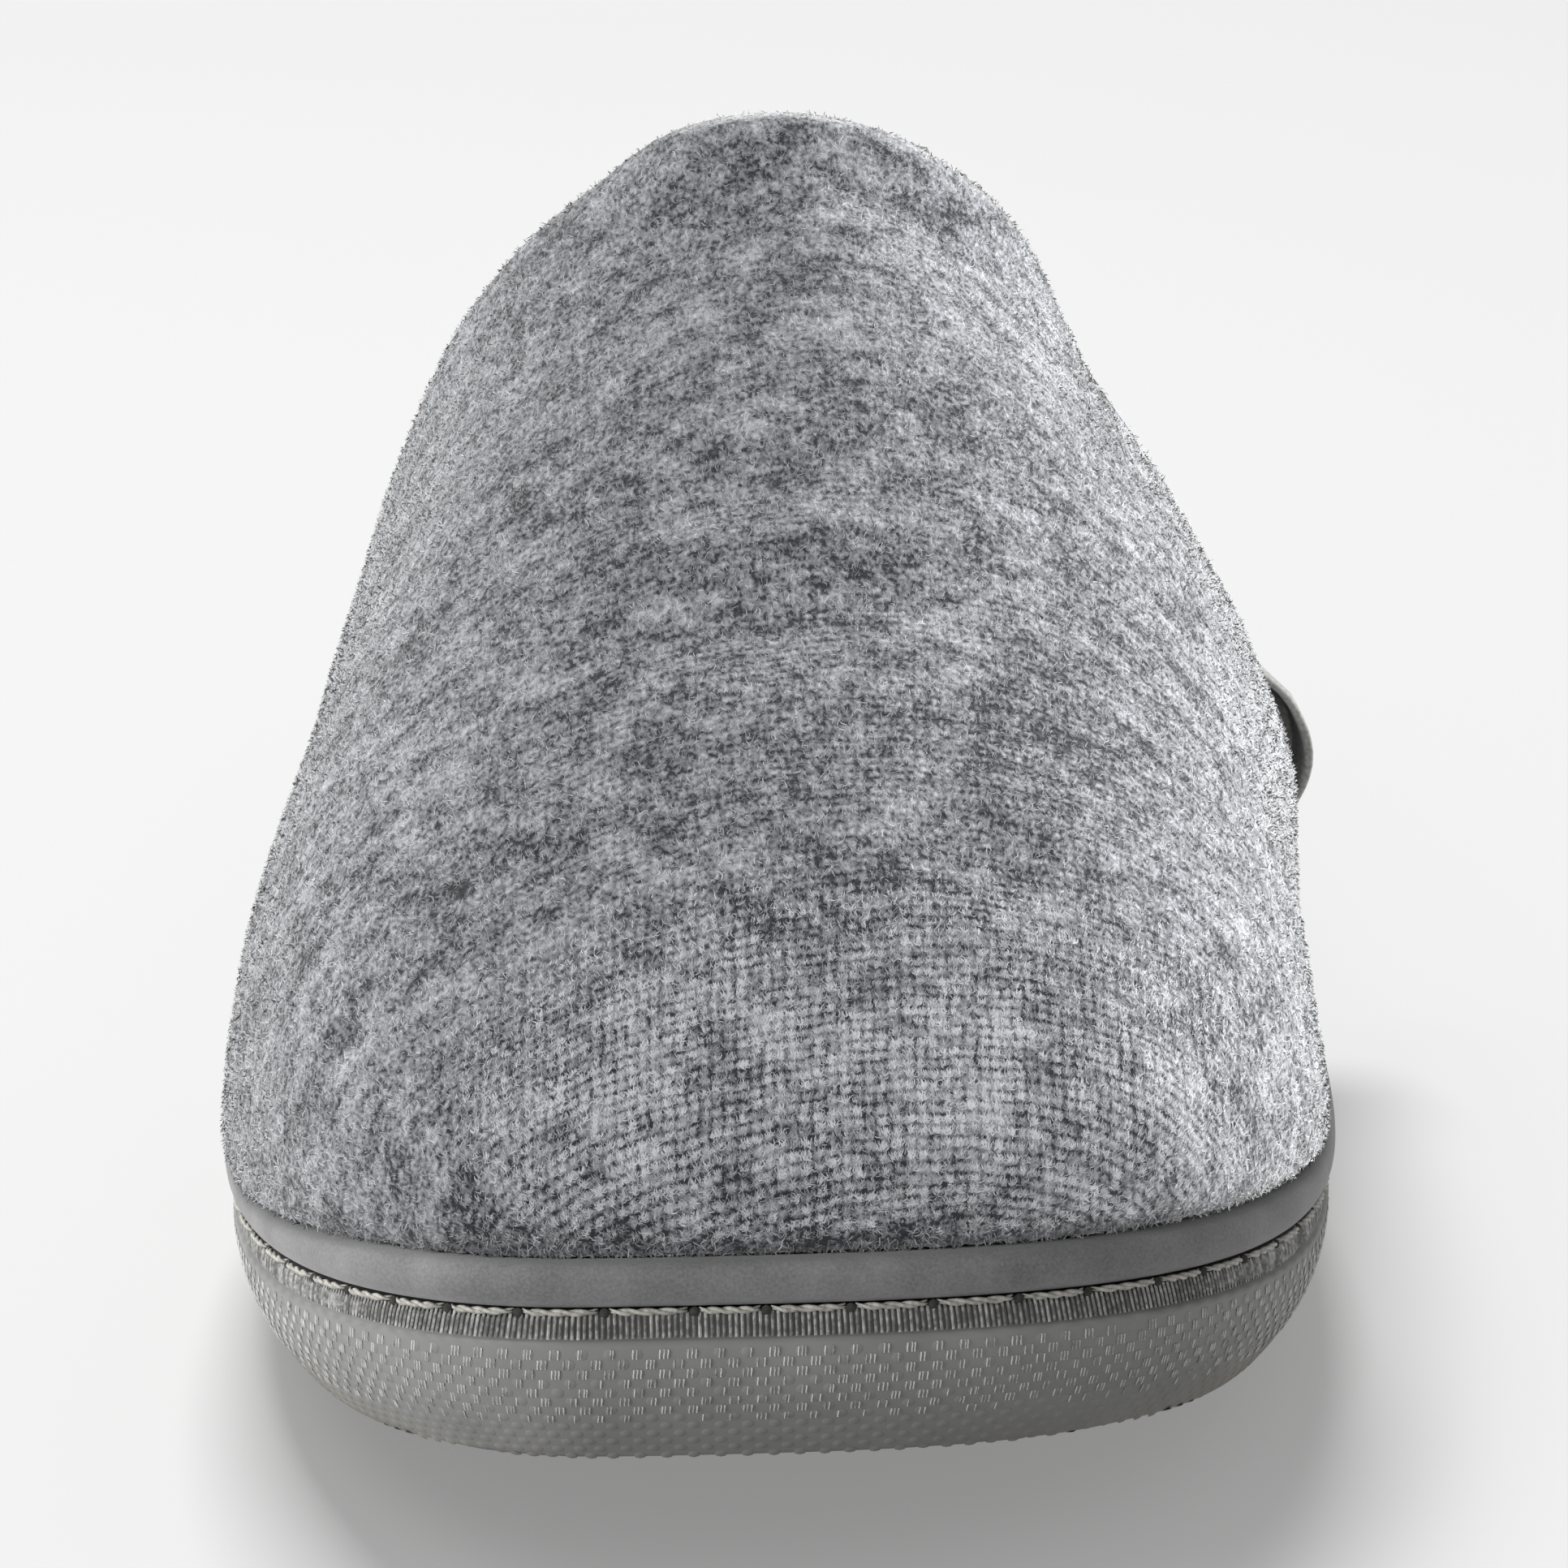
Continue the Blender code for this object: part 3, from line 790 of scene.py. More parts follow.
def mottled(name, spot_mm, detail, span, dark, light, relief=None, **sockets):
    """Material in spots of two colours; relief is the strength and the depth in mm of its bump."""
    made, tree, shader = material(name, **sockets)
    place = node(tree, "ShaderNodeTexCoord").outputs["Object"]
    inputs = [("Vector", place), ("Scale", 1 / (spot_mm * MM)), ("Detail", detail)]
    spots = node(tree, "ShaderNodeTexNoise", inputs).outputs[0]
    spread = node(tree, RANGE, [(0, spots), (1, span[0]), (2, span[1])]).outputs[0]
    colour = node(tree, MIX, [(0, spread), (1, linear(dark)), (2, linear(light))])
    tree.links.new(colour.outputs[0], shader.inputs["Base Color"])
    if relief:
        inputs = [("Strength", relief[0]), ("Distance", relief[1] * MM), ("Height", spots)]
        tree.links.new(node(tree, "ShaderNodeBump", inputs).outputs[0], shader.inputs["Normal"])
    return made


# Waxed linen: the wax lays the fibres flat, so the thread shines a little along its twist.
thread = mottled(
    "waxed_linen_thread", THREAD_FIBRE_MM, 4.0, (0.3, 0.6), THREAD_SHADE, THREAD_LIGHT, Roughness=0.55
)
finish_piece(stitches, "piping", thread)

# %% [markdown]
# ## Needle holes
# Between two stitches the thread dives into a hole that the awl has torn a little wide. From outside it
# is only a dimple in shade, so a low dome at each gap, painted with that shade, stands in for it.

# %% Needle holes
HOLE_WIDTH = 1.0 * MM
HOLE_LIFT = 0.24 * MM
HOLE_PAINTED_SHADE = "#262625"
HOLE_RIM = "#454543"
FRAY_MM = 0.4

places, along, out = edge.frames(starts - 0.5 * STITCH_GAP)
up = np.tile((0.0, 0.0, 1.0), (count, 1))
points, faces = dome(HOLE_WIDTH, HOLE_LIFT)
holes = joined("painted_hole_shade", set_down(points, places, along, up, out), faces, rng.random(count))
# Painted shade deep in a needle hole: no shine at all, only a few paler frayed ends.
hole_shade = mottled(
    "needle_hole_painted_shade", FRAY_MM, 3.0, (0.0, 1.0), HOLE_PAINTED_SHADE, HOLE_RIM,
    Roughness=1.0, Specular_IOR_Level=0.0,
)
finish_piece(holes, "piping", hole_shade)

# %% [markdown]
# ## Insole
# A foam pad covered in brushed cloth. It fills the space between the piping, a touch crowned, and is
# the rounded copy of its solid, because a foot has already pressed the real one flat.

# %% Insole
INSOLE_LIGHT = "#8b8d91"
INSOLE_SHADE = "#5f6165"
INSOLE_FUZZ_MM = 0.7

insole = soft_form("insole_pad", cage("insole", 0.3))
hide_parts("insole")
# Brushed cotton: raised fibre ends scatter the light and soften the shading.
brushed = mottled(
    "brushed_cotton", INSOLE_FUZZ_MM, 4.0, (0.3, 0.7), INSOLE_SHADE, INSOLE_LIGHT, relief=(0.5, 0.2),
    Roughness=0.95, Sheen_Weight=0.3, Specular_IOR_Level=0.2,
)
finish_piece(insole, "insole", brushed)

# %% [markdown]
# ## Upper: pushes
# The upper is one padded wall of knit over foam. Its rounded copy is worked as a sculptor would work
# it: soft pushes along the surface where the cloth stands proud or sinks. The wall is already its real
# thickness, so a cloth simulation would only blow it up like a balloon; listed pushes keep the outline.

# %% Pushes
PUSHES = (
    # place, reach and amount, all in mm
    ((-6, -11, 103), 16, 2.7),
    ((7, -11, 103), 13, 1.2),
    ((20, -8, 97), 18, 2.4),
    ((26, -6, 89), 14, 0.7),
    ((-24, -6, 92), 28, 1.8),
    ((-36, -2, 74), 22, 0.7),
    ((40, -2, 69), 24, -1.4),
    ((52, 2, 47), 20, -1.9),
    ((-49, -50, 48), 30, -0.9),
    ((52, -55, 36), 26, -1.9),
    ((54, -80, 30), 16, -0.8),
)
HEART = np.array((-3.0, -95.0, 38.0)) * MM


def outwards(points, normals):
    """1 where a wall's face looks out of the shoe, -1 where it looks into the hollow."""
    from_heart = points - HEART
    from_heart[:, 1] = np.minimum(from_heart[:, 1], 0)
    return np.where(np.sum(normals * from_heart, 1) > 0, 1.0, -1.0)


def nearness(points, place, reach):
    """1 at a place, 0 beyond its reach, soft between; place and reach are in mm."""
    return np.clip(1 - (np.linalg.norm(points / MM - place, axis=1) / reach) ** 2, 0, 1) ** 2


def pushed(points, ways):
    """Points after all the soft pushes along their ways."""
    moved = points.copy()
    for place, reach, amount in PUSHES:
        moved += ways * (amount * MM * nearness(points, place, reach))[:, None]
    return moved


print("pushes:", len(PUSHES))

# %% [markdown]
# ## Upper: creases
# A worn or packed upper keeps a few shallow creases. Each is given as a line over the surface:
# a soft trough with a low ridge on both sides, where the pushed-away padding goes, fading out at
# its ends. Noise could wrinkle the whole wall, but the eye knows that real creases are few and have a cause.

# %% Creases
CREASES = (
    # points along the crease, half its width and its depth, all in mm
    (((-22, -84, 69), (-11, -81, 73), (-1, -83, 74), (5, -80, 75), (14, -76, 75), (21, -80, 71)), 6.0, 0.9),
    (((-16, -68, 78), (-5, -65, 81), (8, -59, 84)), 4.5, 0.6),
    (((1, -21, 103), (10, -20, 100.5), (19, -19, 96)), 4.0, 0.6),
    (((11, -107, 63), (19, -111, 59), (28, -113, 55)), 5.0, 0.6),
    (((-37, -96, 58), (-29, -108, 57.5), (-22, -116, 57)), 5.0, 0.6),
    (((31, -2, 79), (33, -5, 75), (37, -14, 69)), 5.0, 0.5),
    (((-43, -117, 43), (-40, -118, 45.5), (-37, -118.5, 48.5)), 2.6, 0.7),
    (((-34, -14, 77), (-31.5, -14, 81), (-29, -14.5, 85)), 4.0, 0.4),
    (((36, -28, 74), (33, -42, 76), (29, -54, 77)), 5.0, 0.5),
)
LIP = 0.4
LIP_AT = 1.8
LIP_SHARP = 1.5
CREASE_FADE = 0.7


def creased(points, ways):
    """Points after the soft creases along their ways."""
    moved = points.copy()
    for line, half, depth in CREASES:
        line = np.array(line) * MM
        steps = np.linalg.norm(np.diff(line, axis=0), axis=1)
        apart = np.full(len(points), np.inf)
        reached = np.zeros(len(points))
        for i, step in enumerate(steps):
            run = (line[i + 1] - line[i]) / step
            along = np.clip((points - line[i]) @ run, 0, step)
            gap = np.linalg.norm(points - line[i] - along[:, None] * run, axis=1)
            nearer = gap < apart
            apart = np.where(nearer, gap, apart)
            reached = np.where(nearer, along + steps[:i].sum(), reached)
        share = apart / (half * MM)
        profile = np.exp(-(share**2)) - LIP * np.exp(-LIP_SHARP * (share - LIP_AT) ** 2)
        fade = np.sin(math.pi * np.clip(reached / steps.sum(), 0, 1)) ** CREASE_FADE
        moved -= ways * (depth * MM * profile * fade)[:, None]
    return moved


print("creases:", len(CREASES))

# %% [markdown]
# ## Upper: form
# Now the wall itself: the rounded copy of the solid, pushed and creased. Points on the inner face move the
# same way as those outside, so the wall keeps its thickness.

# %% Upper form


def normals_of(piece):
    """Point normals of a piece as an array."""
    ways = np.empty(len(piece.data.vertices) * 3, np.float32)
    piece.data.vertices.foreach_get("normal", ways)
    return ways.reshape(-1, 3).astype(float)


def put_back(piece, points):
    """Writes an array of points to a piece."""
    piece.data.vertices.foreach_set("co", points.astype(np.float32).ravel())
    piece.data.update()


upper = soft_form("upper_knit", cage("upper", 0.35))
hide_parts("upper")
plain_skin = surface(upper)
places, ways = corners(upper), normals_of(upper)
facing = outwards(places, ways)
places = pushed(places, ways * facing[:, None])
places = creased(places, ways * facing[:, None])
print("upper points:", len(places))

# %% [markdown]
# ## Upper: overhang
# The soft wall swells over the piping, most at the two corners of the toe. The lowest part of the
# outer face moves out and down by a small table along the shoe, and whatever would then lie inside
# the piping is lifted back onto its surface. The piping is told how near the knit lies, and its
# material paints shade on the joint there.

# %% Overhang on the piping
OVERHANG = (
    # y, then outwards and down on the inner side, then the same on the outer side, in mm
    (-143, 0.2, 0.2, 0.2, 0.2),
    (-130, 0.6, 0.6, 0.4, 0.3),
    (-115, 1.6, 1.6, 0.8, 0.5),
    (-100, 2.3, 2.0, 1.5, 0.9),
    (-85, 2.2, 1.8, 1.9, 0.9),
    (-70, 1.5, 1.0, 1.2, 0.5),
    (-50, 0.8, 0.4, 0.3, 0.2),
    (10, 0.3, 0.0, 0.0, 0.0),
)
PIPING_TOP = 5.0 * MM
OVERHANG_MIDDLE = 2 * MM
OVERHANG_REACH = 13 * MM
SHOWING_FROM = -2.5 * MM
NEAR_PIPING = 5 * MM
CLEAR = 0.25 * MM
JOINT_REACH = 1.6 * MM
JOINT_SHADE = 0.9

table_y, inner_out, inner_down, outer_out, outer_down = np.array(OVERHANG).T
above = places[:, 2] - edge_height(places) - PIPING_TOP
outer = (facing > 0) & (above > SHOWING_FROM)
left = places[:, 0] < 0
y = places[:, 1] / MM
push_out = np.where(left, np.interp(y, table_y, inner_out), np.interp(y, table_y, outer_out))
push_down = np.where(left, np.interp(y, table_y, inner_down), np.interp(y, table_y, outer_down))
share = np.clip(1 - np.abs(above - OVERHANG_MIDDLE) / OVERHANG_REACH, 0, 1) ** 2 * outer
level = ways * (1, 1, 0)
level /= np.maximum(np.linalg.norm(level, axis=1, keepdims=True), 1e-6)
places += level * (push_out * MM * share)[:, None]
places[:, 2] -= push_down * MM * share
roll = surface(piping)
for i in np.flatnonzero(outer & (np.abs(above) < NEAR_PIPING)):
    touch, normal, _, _ = roll.find_nearest(Vector(places[i]))
    depth = (Vector(places[i]) - touch).dot(normal)
    if depth < CLEAR:
        places[i] = touch + normal * CLEAR
put_back(upper, places)
finish_ways = normals_of(upper)
upper_skin = surface(upper)
# Painted shade: how near the knit lies over each point of the piping.
gaps = np.array([upper_skin.find_nearest(vert.co)[3] for vert in piping.data.vertices])
note(piping.data, "joint", JOINT_SHADE * np.clip(1 - gaps / JOINT_REACH, 0, 1))
print("most overhang, mm:", round((push_out * share).max(), 2))

# %% [markdown]
# ## Upper: knit map
# Knit rows run across the foot and its columns run along it, so the wall gets a map in millimetres: u
# across from the middle column, v back from the toe. The rows stand upright over the foot and fan
# forward round the toe like the slats of a hood. Unwrapping by hand could do it, but rows would then
# break at the seams of the map.

# %% Knit map
KNIT_MIDDLE_X = 6 * MM
KNIT_YAW_TOE = 0.17
KNIT_YAW_BACK = 0.03
KNIT_SWEEP = 0.22
SWEEP_WIDTH = 25 * MM
KNIT_LEAN = 0.08
KNIT_ROUND = 55 * MM
FAN_Y = -116 * MM
FAN_Z = -8 * MM
FAN_TURN = 1.2
FAN_STEPS = 90
BACK_STEPS = 120
THROAT_MARGIN = 20 * MM
FAR_OFF = 0.2
upper_low, upper_high = (np.array(corner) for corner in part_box("upper"))


def row_place(points):
    """Place of the knit row through each point: along the shoe, or as a turn round the toe's fan."""
    back = np.clip((points[:, 1] - upper_low[1]) / (upper_high[1] - upper_low[1]), 0, 1)
    yaw = KNIT_YAW_TOE + (KNIT_YAW_BACK - KNIT_YAW_TOE) * back
    inner = np.maximum(KNIT_MIDDLE_X - points[:, 0], 0)
    sweep = np.where(inner < SWEEP_WIDTH, inner**2 / (2 * SWEEP_WIDTH), inner - SWEEP_WIDTH / 2)
    y = points[:, 1] - yaw * (points[:, 0] - KNIT_MIDDLE_X) + KNIT_SWEEP * (1 - back) * sweep
    y = y + KNIT_LEAN * (points[:, 2] - FAN_Z)
    turn = np.arctan2(FAN_Y - y, points[:, 2] - FAN_Z)
    return np.where(y > FAN_Y, y - FAN_Y, -turn * KNIT_ROUND)


def middle_column():
    """Points over the middle of the vamp, from the piping at the toe to the throat."""
    column = []
    for turn in np.linspace(FAN_TURN, 0, FAN_STEPS, endpoint=False):
        way = Vector((0, -math.sin(turn), math.cos(turn)))
        start = Vector((KNIT_MIDDLE_X, FAN_Y, FAN_Z)) + way * FAR_OFF
        column.append(upper_skin.ray_cast(start, -way)[0])
    for y in np.linspace(FAN_Y, upper_high[1] - THROAT_MARGIN, BACK_STEPS):
        column.append(upper_skin.ray_cast(Vector((KNIT_MIDDLE_X, y, FAR_OFF)), Vector((0, 0, -1)))[0])
    return np.array([place for place in column if place is not None])


def knit_map(points):
    """u and v of each point in millimetres."""
    column = middle_column()
    rows = np.maximum.accumulate(row_place(column))
    run = np.concatenate([[0], np.cumsum(np.linalg.norm(np.diff(column, axis=0), axis=1))])
    row = row_place(points)
    beyond = row - np.clip(row, rows[0], rows[-1])
    v = np.interp(row, rows, run) + beyond
    axis = np.interp(row, rows, column[:, 2]) - KNIT_ROUND
    across, rise = points[:, 0] - KNIT_MIDDLE_X, points[:, 2] - axis
    u = np.hypot(across, rise) * np.arctan2(across, rise)
    return u / MM, v / MM


u, v = knit_map(places)
print("knit map, mm: u", u.min().round(), u.max().round(), "v", v.min().round(), v.max().round())

# %% [markdown]
# ## Upper: hem
# At the piping the knit is drawn in by the seam, so its rows bend down there, and its lowest few
# millimetres are painted darker, as painted shade of the overhang. The map is written to the mesh
# once the hem has bent it.

# %% Hem
HEM_MM = 9.0
HEM_GATHER = 0.35
GATHER_U = 16
GATHER_FROM = 0.25
HEM_SHADE = (0.5 * MM, 4 * MM)

gathered = np.clip(np.abs(u) / GATHER_U - GATHER_FROM, 0, 1) * np.maximum(0, HEM_MM - above / MM)
v = v - HEM_GATHER * gathered
mapped = upper.data.uv_layers.new(name="knit")
order = np.empty(len(upper.data.loops), np.int32)
upper.data.loops.foreach_get("vertex_index", order)
mapped.uv.foreach_set("vector", np.stack([u[order], v[order]], 1).astype(np.float32).ravel())
# The hem band: the knit's material paints shade there and fades the loops.
note(upper.data, "hem", np.clip(1 - (above - HEM_SHADE[0]) / HEM_SHADE[1], 0, 1))
print("most gathered, mm:", round(HEM_GATHER * gathered.max(), 1))

# %% [markdown]
# ## Melange
# Melange yarn is spun from light and dark fibres, so the tone changes every half millimetre, in streaks
# along the rows and in clouds of a centimetre. Three noises of those sizes are added up, each round
# zero. They are drawn longer along the shoe than they are, because the top is seen at a slant.

# %% Melange
MELANGE = (
    # size of the spots in mm along the knit rows, then from row to row, and their weight
    (1.1, 1.9, 0.85),
    (4.2, 2.6, 0.95),
    (10.0, 8.0, 0.6),
)


def spotted(tree, across, along, detail):
    """Noise whose spots have a size in mm along the rows, over the foot and down, and one along the shoe."""
    place = node(tree, "ShaderNodeTexCoord").outputs["Object"]
    sizes = (1 / (across * MM), 1 / (along * MM), 1 / (across * MM))
    scaled = node(tree, "ShaderNodeMapping", [("Vector", place), ("Scale", sizes)])
    inputs = [("Vector", scaled.outputs[0]), ("Scale", 1.0), ("Detail", detail)]
    return node(tree, "ShaderNodeTexNoise", inputs).outputs[0]


def melange(tree):
    """Light and dark of the mixed yarn round zero, in spots of three sizes."""
    so_far = 0.0
    for across, along, weight in MELANGE:
        centred = node(tree, MATH, [(0, spotted(tree, across, along, 1.0)), (1, -0.5)], operation="ADD")
        inputs = [(0, centred.outputs[0]), (1, weight), (2, so_far)]
        so_far = node(tree, MATH, inputs, operation="MULTIPLY_ADD").outputs[0]
    return so_far


print("spot sizes:", len(MELANGE))

# %% [markdown]
# ## Knit loops
# Loops are a product of two waves on the knit map, one for the columns and one for the rows, and each has a
# brightness of its own. They show clearly at the toe, where the cloth is stretched; further up, on the
# flanks and at the hem the brushing hides all but a trace. An image of a knit would repeat, and would
# not know where the toe is.

# %% Knit loops
WALE_MM = 1.14
COURSE_MM = 1.15
WAVES = (
    # axis of the map, spacing in mm and how deep the wave goes
    ("X", WALE_MM, 0.4),
    ("Y", COURSE_MM, 0.5),
)
WANDER_PER_MM = 0.35
WANDER_MM = 1.1
LOOP_TONES = (0.45, 1.25)
LOOP_LEVEL = -0.22
FADE_AT_TOE = (16.0, 44.0, 1.0, 0.5)
FADE_AT_FLANK = (26.0, 52.0, 1.0, 0.3)
FADE_AT_THROAT = (55.0, 120.0, 1.0, 0.35)

# Brushed knit: matt, with a soft bloom where it turns away, from fibre ends that catch the light.
knit, tree, shader = material(
    "brushed_melange_knit", Roughness=0.95, Sheen_Weight=0.35, Sheen_Roughness=0.4, Specular_IOR_Level=0.15
)
chart = node(tree, "ShaderNodeUVMap", uv_map="knit").outputs[0]
wobble = node(tree, "ShaderNodeTexNoise", [("Vector", chart), ("Scale", WANDER_PER_MM), ("Detail", 2.0)])
inputs = [(0, wobble.outputs["Color"]), (1, (0.5, 0.5, 0.5))]
shift = node(tree, "ShaderNodeVectorMath", inputs, operation="SUBTRACT")
shifted = node(tree, "ShaderNodeVectorMath", [(0, shift.outputs[0]), (3, WANDER_MM)], operation="SCALE")
drawn = node(tree, "ShaderNodeVectorMath", [(0, chart), (1, shifted.outputs[0])], operation="ADD")
parts = node(tree, "ShaderNodeSeparateXYZ", [(0, drawn.outputs[0])])
waves = []
whole = []
for axis, spacing, swing in WAVES:
    angle = node(tree, MATH, [(0, parts.outputs[axis]), (1, 2 * math.pi / spacing)], operation="MULTIPLY")
    wave = node(tree, MATH, [(0, angle.outputs[0])], operation="COSINE")
    inputs = [(0, wave.outputs[0]), (1, swing), (2, 1 - swing)]
    waves.append(node(tree, MATH, inputs, operation="MULTIPLY_ADD").outputs[0])
    turns = node(tree, MATH, [(0, parts.outputs[axis]), (1, spacing)], operation="DIVIDE")
    whole.append(node(tree, MATH, [(0, turns.outputs[0])], operation="ROUND").outputs[0])
loop = node(tree, MATH, [(0, waves[0]), (1, waves[1])], operation="MULTIPLY")
cell = node(tree, "ShaderNodeCombineXYZ", [(0, whole[0]), (1, whole[1])])
own = node(tree, "ShaderNodeTexWhiteNoise", [("Vector", cell.outputs[0])], noise_dimensions="2D")
bright = node(tree, RANGE, [(0, own.outputs[0]), (3, LOOP_TONES[0]), (4, LOOP_TONES[1])])
loop = node(tree, MATH, [(0, loop.outputs[0]), (1, bright.outputs[0])], operation="MULTIPLY")
loops = node(tree, MATH, [(0, loop.outputs[0]), (1, LOOP_LEVEL)], operation="ADD").outputs[0]
flat = node(tree, "ShaderNodeSeparateXYZ", [(0, chart)])
side = node(tree, MATH, [(0, flat.outputs["X"])], operation="ABSOLUTE").outputs[0]
inputs = [(0, flat.outputs["Y"]), *enumerate(FADE_AT_TOE, 1)]
near_toe = node(tree, RANGE, inputs, interpolation_type="SMOOTHSTEP").outputs[0]
inputs = [(0, side), *enumerate(FADE_AT_FLANK, 1)]
near_middle = node(tree, RANGE, inputs, interpolation_type="SMOOTHSTEP").outputs[0]
far = node(tree, RANGE, [(0, flat.outputs["Y"]), *enumerate(FADE_AT_THROAT, 1)]).outputs[0]
hem_part = node(tree, "ShaderNodeAttribute", attribute_name="hem").outputs["Fac"]
away_hem = node(tree, MATH, [(0, 1.0), (1, hem_part)], operation="SUBTRACT").outputs[0]
for fade in (near_toe, near_middle, far, away_hem):
    loops = node(tree, MATH, [(0, loops), (1, fade)], operation="MULTIPLY").outputs[0]
print("loops per cm:", round(10 / WALE_MM, 1), "by", round(10 / COURSE_MM, 1))

# %% [markdown]
# ## Knit tone
# Loops, melange and a fine grain are added up and pick a tone between dark and light yarn. The hem
# is painted darker, as painted shade of the overhang. Flanks are livelier, and flanks and throat are
# painted a little paler, as painted sheen of brushed fibre seen edge on. The grain and the loops also
# lift the surface a little.

# %% Knit tone
YARN_DARK = "#2c2e32"
YARN_LIGHT = "#a8aaae"
LOOP_WEIGHT = 0.72
KNIT_LEVEL = 0.31
HEM_PAINTED_SHADE = -0.12
GRAIN_MM = (0.45, 0.8)
GRAIN_WEIGHT = 2.0
FLANK_LIVELY = (0.3, 1.0, 1.15, 1.0)
FLANK_PAINTED_SHEEN = (0.3, 1.0, 0.12, 0.0)
THROAT_PAINTED_SHEEN = (60.0, 120.0, 0.0, 0.07)

total = node(tree, MATH, [(0, loops), (1, LOOP_WEIGHT), (2, KNIT_LEVEL)], operation="MULTIPLY_ADD")
# Painted shade at the hem, under the overhang.
inputs = [(0, hem_part), (1, HEM_PAINTED_SHADE), (2, total.outputs[0])]
total = node(tree, MATH, inputs, operation="MULTIPLY_ADD")
fine = spotted(tree, *GRAIN_MM, 3.0)
inputs = [(0, fine), (1, GRAIN_WEIGHT), (2, -GRAIN_WEIGHT / 2)]
grain = node(tree, MATH, inputs, operation="MULTIPLY_ADD")
uneven = node(tree, MATH, [(0, melange(tree)), (1, grain.outputs[0])], operation="ADD")
lively = node(tree, RANGE, [(0, near_middle), *enumerate(FLANK_LIVELY, 1)])
# Painted sheen: flanks and throat are made paler.
paler = node(tree, RANGE, [(0, near_middle), *enumerate(FLANK_PAINTED_SHEEN, 1)])
high = node(tree, RANGE, [(0, flat.outputs["Y"]), *enumerate(THROAT_PAINTED_SHEEN, 1)])
paler = node(tree, MATH, [(0, paler.outputs[0]), (1, high.outputs[0])], operation="ADD")
inputs = [(0, uneven.outputs[0]), (1, lively.outputs[0]), (2, paler.outputs[0])]
uneven = node(tree, MATH, inputs, operation="MULTIPLY_ADD")
total = node(tree, MATH, [(0, total.outputs[0]), (1, uneven.outputs[0])], operation="ADD")
inputs = [(0, total.outputs[0]), (1, linear(YARN_DARK)), (2, linear(YARN_LIGHT))]
colour = node(tree, MIX, inputs, use_clamp=True)
tree.links.new(colour.outputs[0], shader.inputs["Base Color"])
relief = node(tree, MATH, [(0, loops), (1, fine)], operation="ADD")
inputs = [("Strength", 0.7), ("Distance", 0.35 * MM), ("Height", relief.outputs[0])]
bumps = node(tree, "ShaderNodeBump", inputs)
tree.links.new(bumps.outputs[0], shader.inputs["Normal"])
print("knit nodes:", len(tree.nodes))

# %% [markdown]
# ## Lining
# Inside, the foam is faced with a plain brushed jersey without melange. It is the same mesh as the knit, so a
# second material is enough: faces whose corners all look into the hollow take it.

# %% Lining
LINING_LIGHT = "#83858a"
LINING_SHADE = "#5b5d61"
LINING_FUZZ_MM = 0.8

# Brushed tricot: even, soft and dull, with a plush that is just coarse enough to see.
lining = mottled(
    "brushed_tricot_lining", LINING_FUZZ_MM, 4.0, (0.3, 0.7), LINING_SHADE, LINING_LIGHT, relief=(0.6, 0.3),
    Roughness=0.95, Sheen_Weight=0.3, Specular_IOR_Level=0.2,
)
finish_piece(upper, "upper", knit, lining)
for poly in upper.data.polygons:
    poly.material_index = int(max(facing[i] for i in poly.vertices) < 0)

# %% [markdown]
# ## Where fibres grow
# Brushing pulls fibre ends out of the yarn, and these soften every edge. First come the spots: random
# places on the outer face, even by area, and thinner at the toe, where the loops show. Each spot keeps
# the direction of the cloth under it and its place on the knit map.

# %% Spots for fibres
LOWEST_FIBRE = -1.0 * MM
TOE_CLEAR_V = (18.0, 42.0)
TOE_CLEAR_U = (24.0, 44.0)


def ramp(values, start, end):
    """0 before the start, 1 after the end, smooth between."""
    share = np.clip((values - start) / (end - start), 0, 1)
    return share * share * (3 - 2 * share)


def outer_triangles():
    """Corner numbers of the wall's outer triangles."""
    mesh = upper.data
    mesh.calc_loop_triangles()
    triangles = np.empty(len(mesh.loop_triangles) * 3, np.int32)
    mesh.loop_triangles.foreach_get("vertices", triangles)
    triangles = triangles.reshape(-1, 3)
    return triangles[(facing[triangles] > 0).all(1) & (above[triangles].min(1) > LOWEST_FIBRE)]


def brushed_over():
    """How far the brushing hides the loops at each point: 0 at the toe, 1 elsewhere."""
    return np.maximum(ramp(v, *TOE_CLEAR_V), ramp(np.abs(u), *TOE_CLEAR_U))


def scatter(count, share):
    """Random spots on the outer face, even by area times a share given for each point."""
    triangles = outer_triangles()
    a, b, c = (places[triangles[:, i]] for i in range(3))
    weight = np.linalg.norm(np.cross(b - a, c - a), axis=1) * share[triangles].mean(1)
    chosen = triangles[rng.choice(len(triangles), count, p=weight / weight.sum())]
    one, two = rng.random((2, count))
    fold = one + two > 1
    one[fold], two[fold] = 1 - one[fold], 1 - two[fold]
    shares = np.stack([1 - one - two, one, two], 1)
    spots = np.einsum("nk,nkd->nd", shares, places[chosen])
    away = np.einsum("nk,nkd->nd", shares, finish_ways[chosen])
    chart = np.einsum("nk,nkd->nd", shares, np.stack([u, v], 1)[chosen])
    return spots, away / np.linalg.norm(away, axis=1, keepdims=True), chart


print("outer triangles:", len(outer_triangles()))

# %% [markdown]
# ## A fibre
# A renderer's hair would not come along in the exported model, so each fibre is a tiny bent strip of three
# triangles, lying almost flat. Real fibres are a fiftieth of a millimetre thick; these are drawn coarser,
# as small clumps, to show at all in the picture. Each one borrows the direction of the cloth under it
# for its shading, as grass in a film does, so the pile takes the light softly instead of glittering.

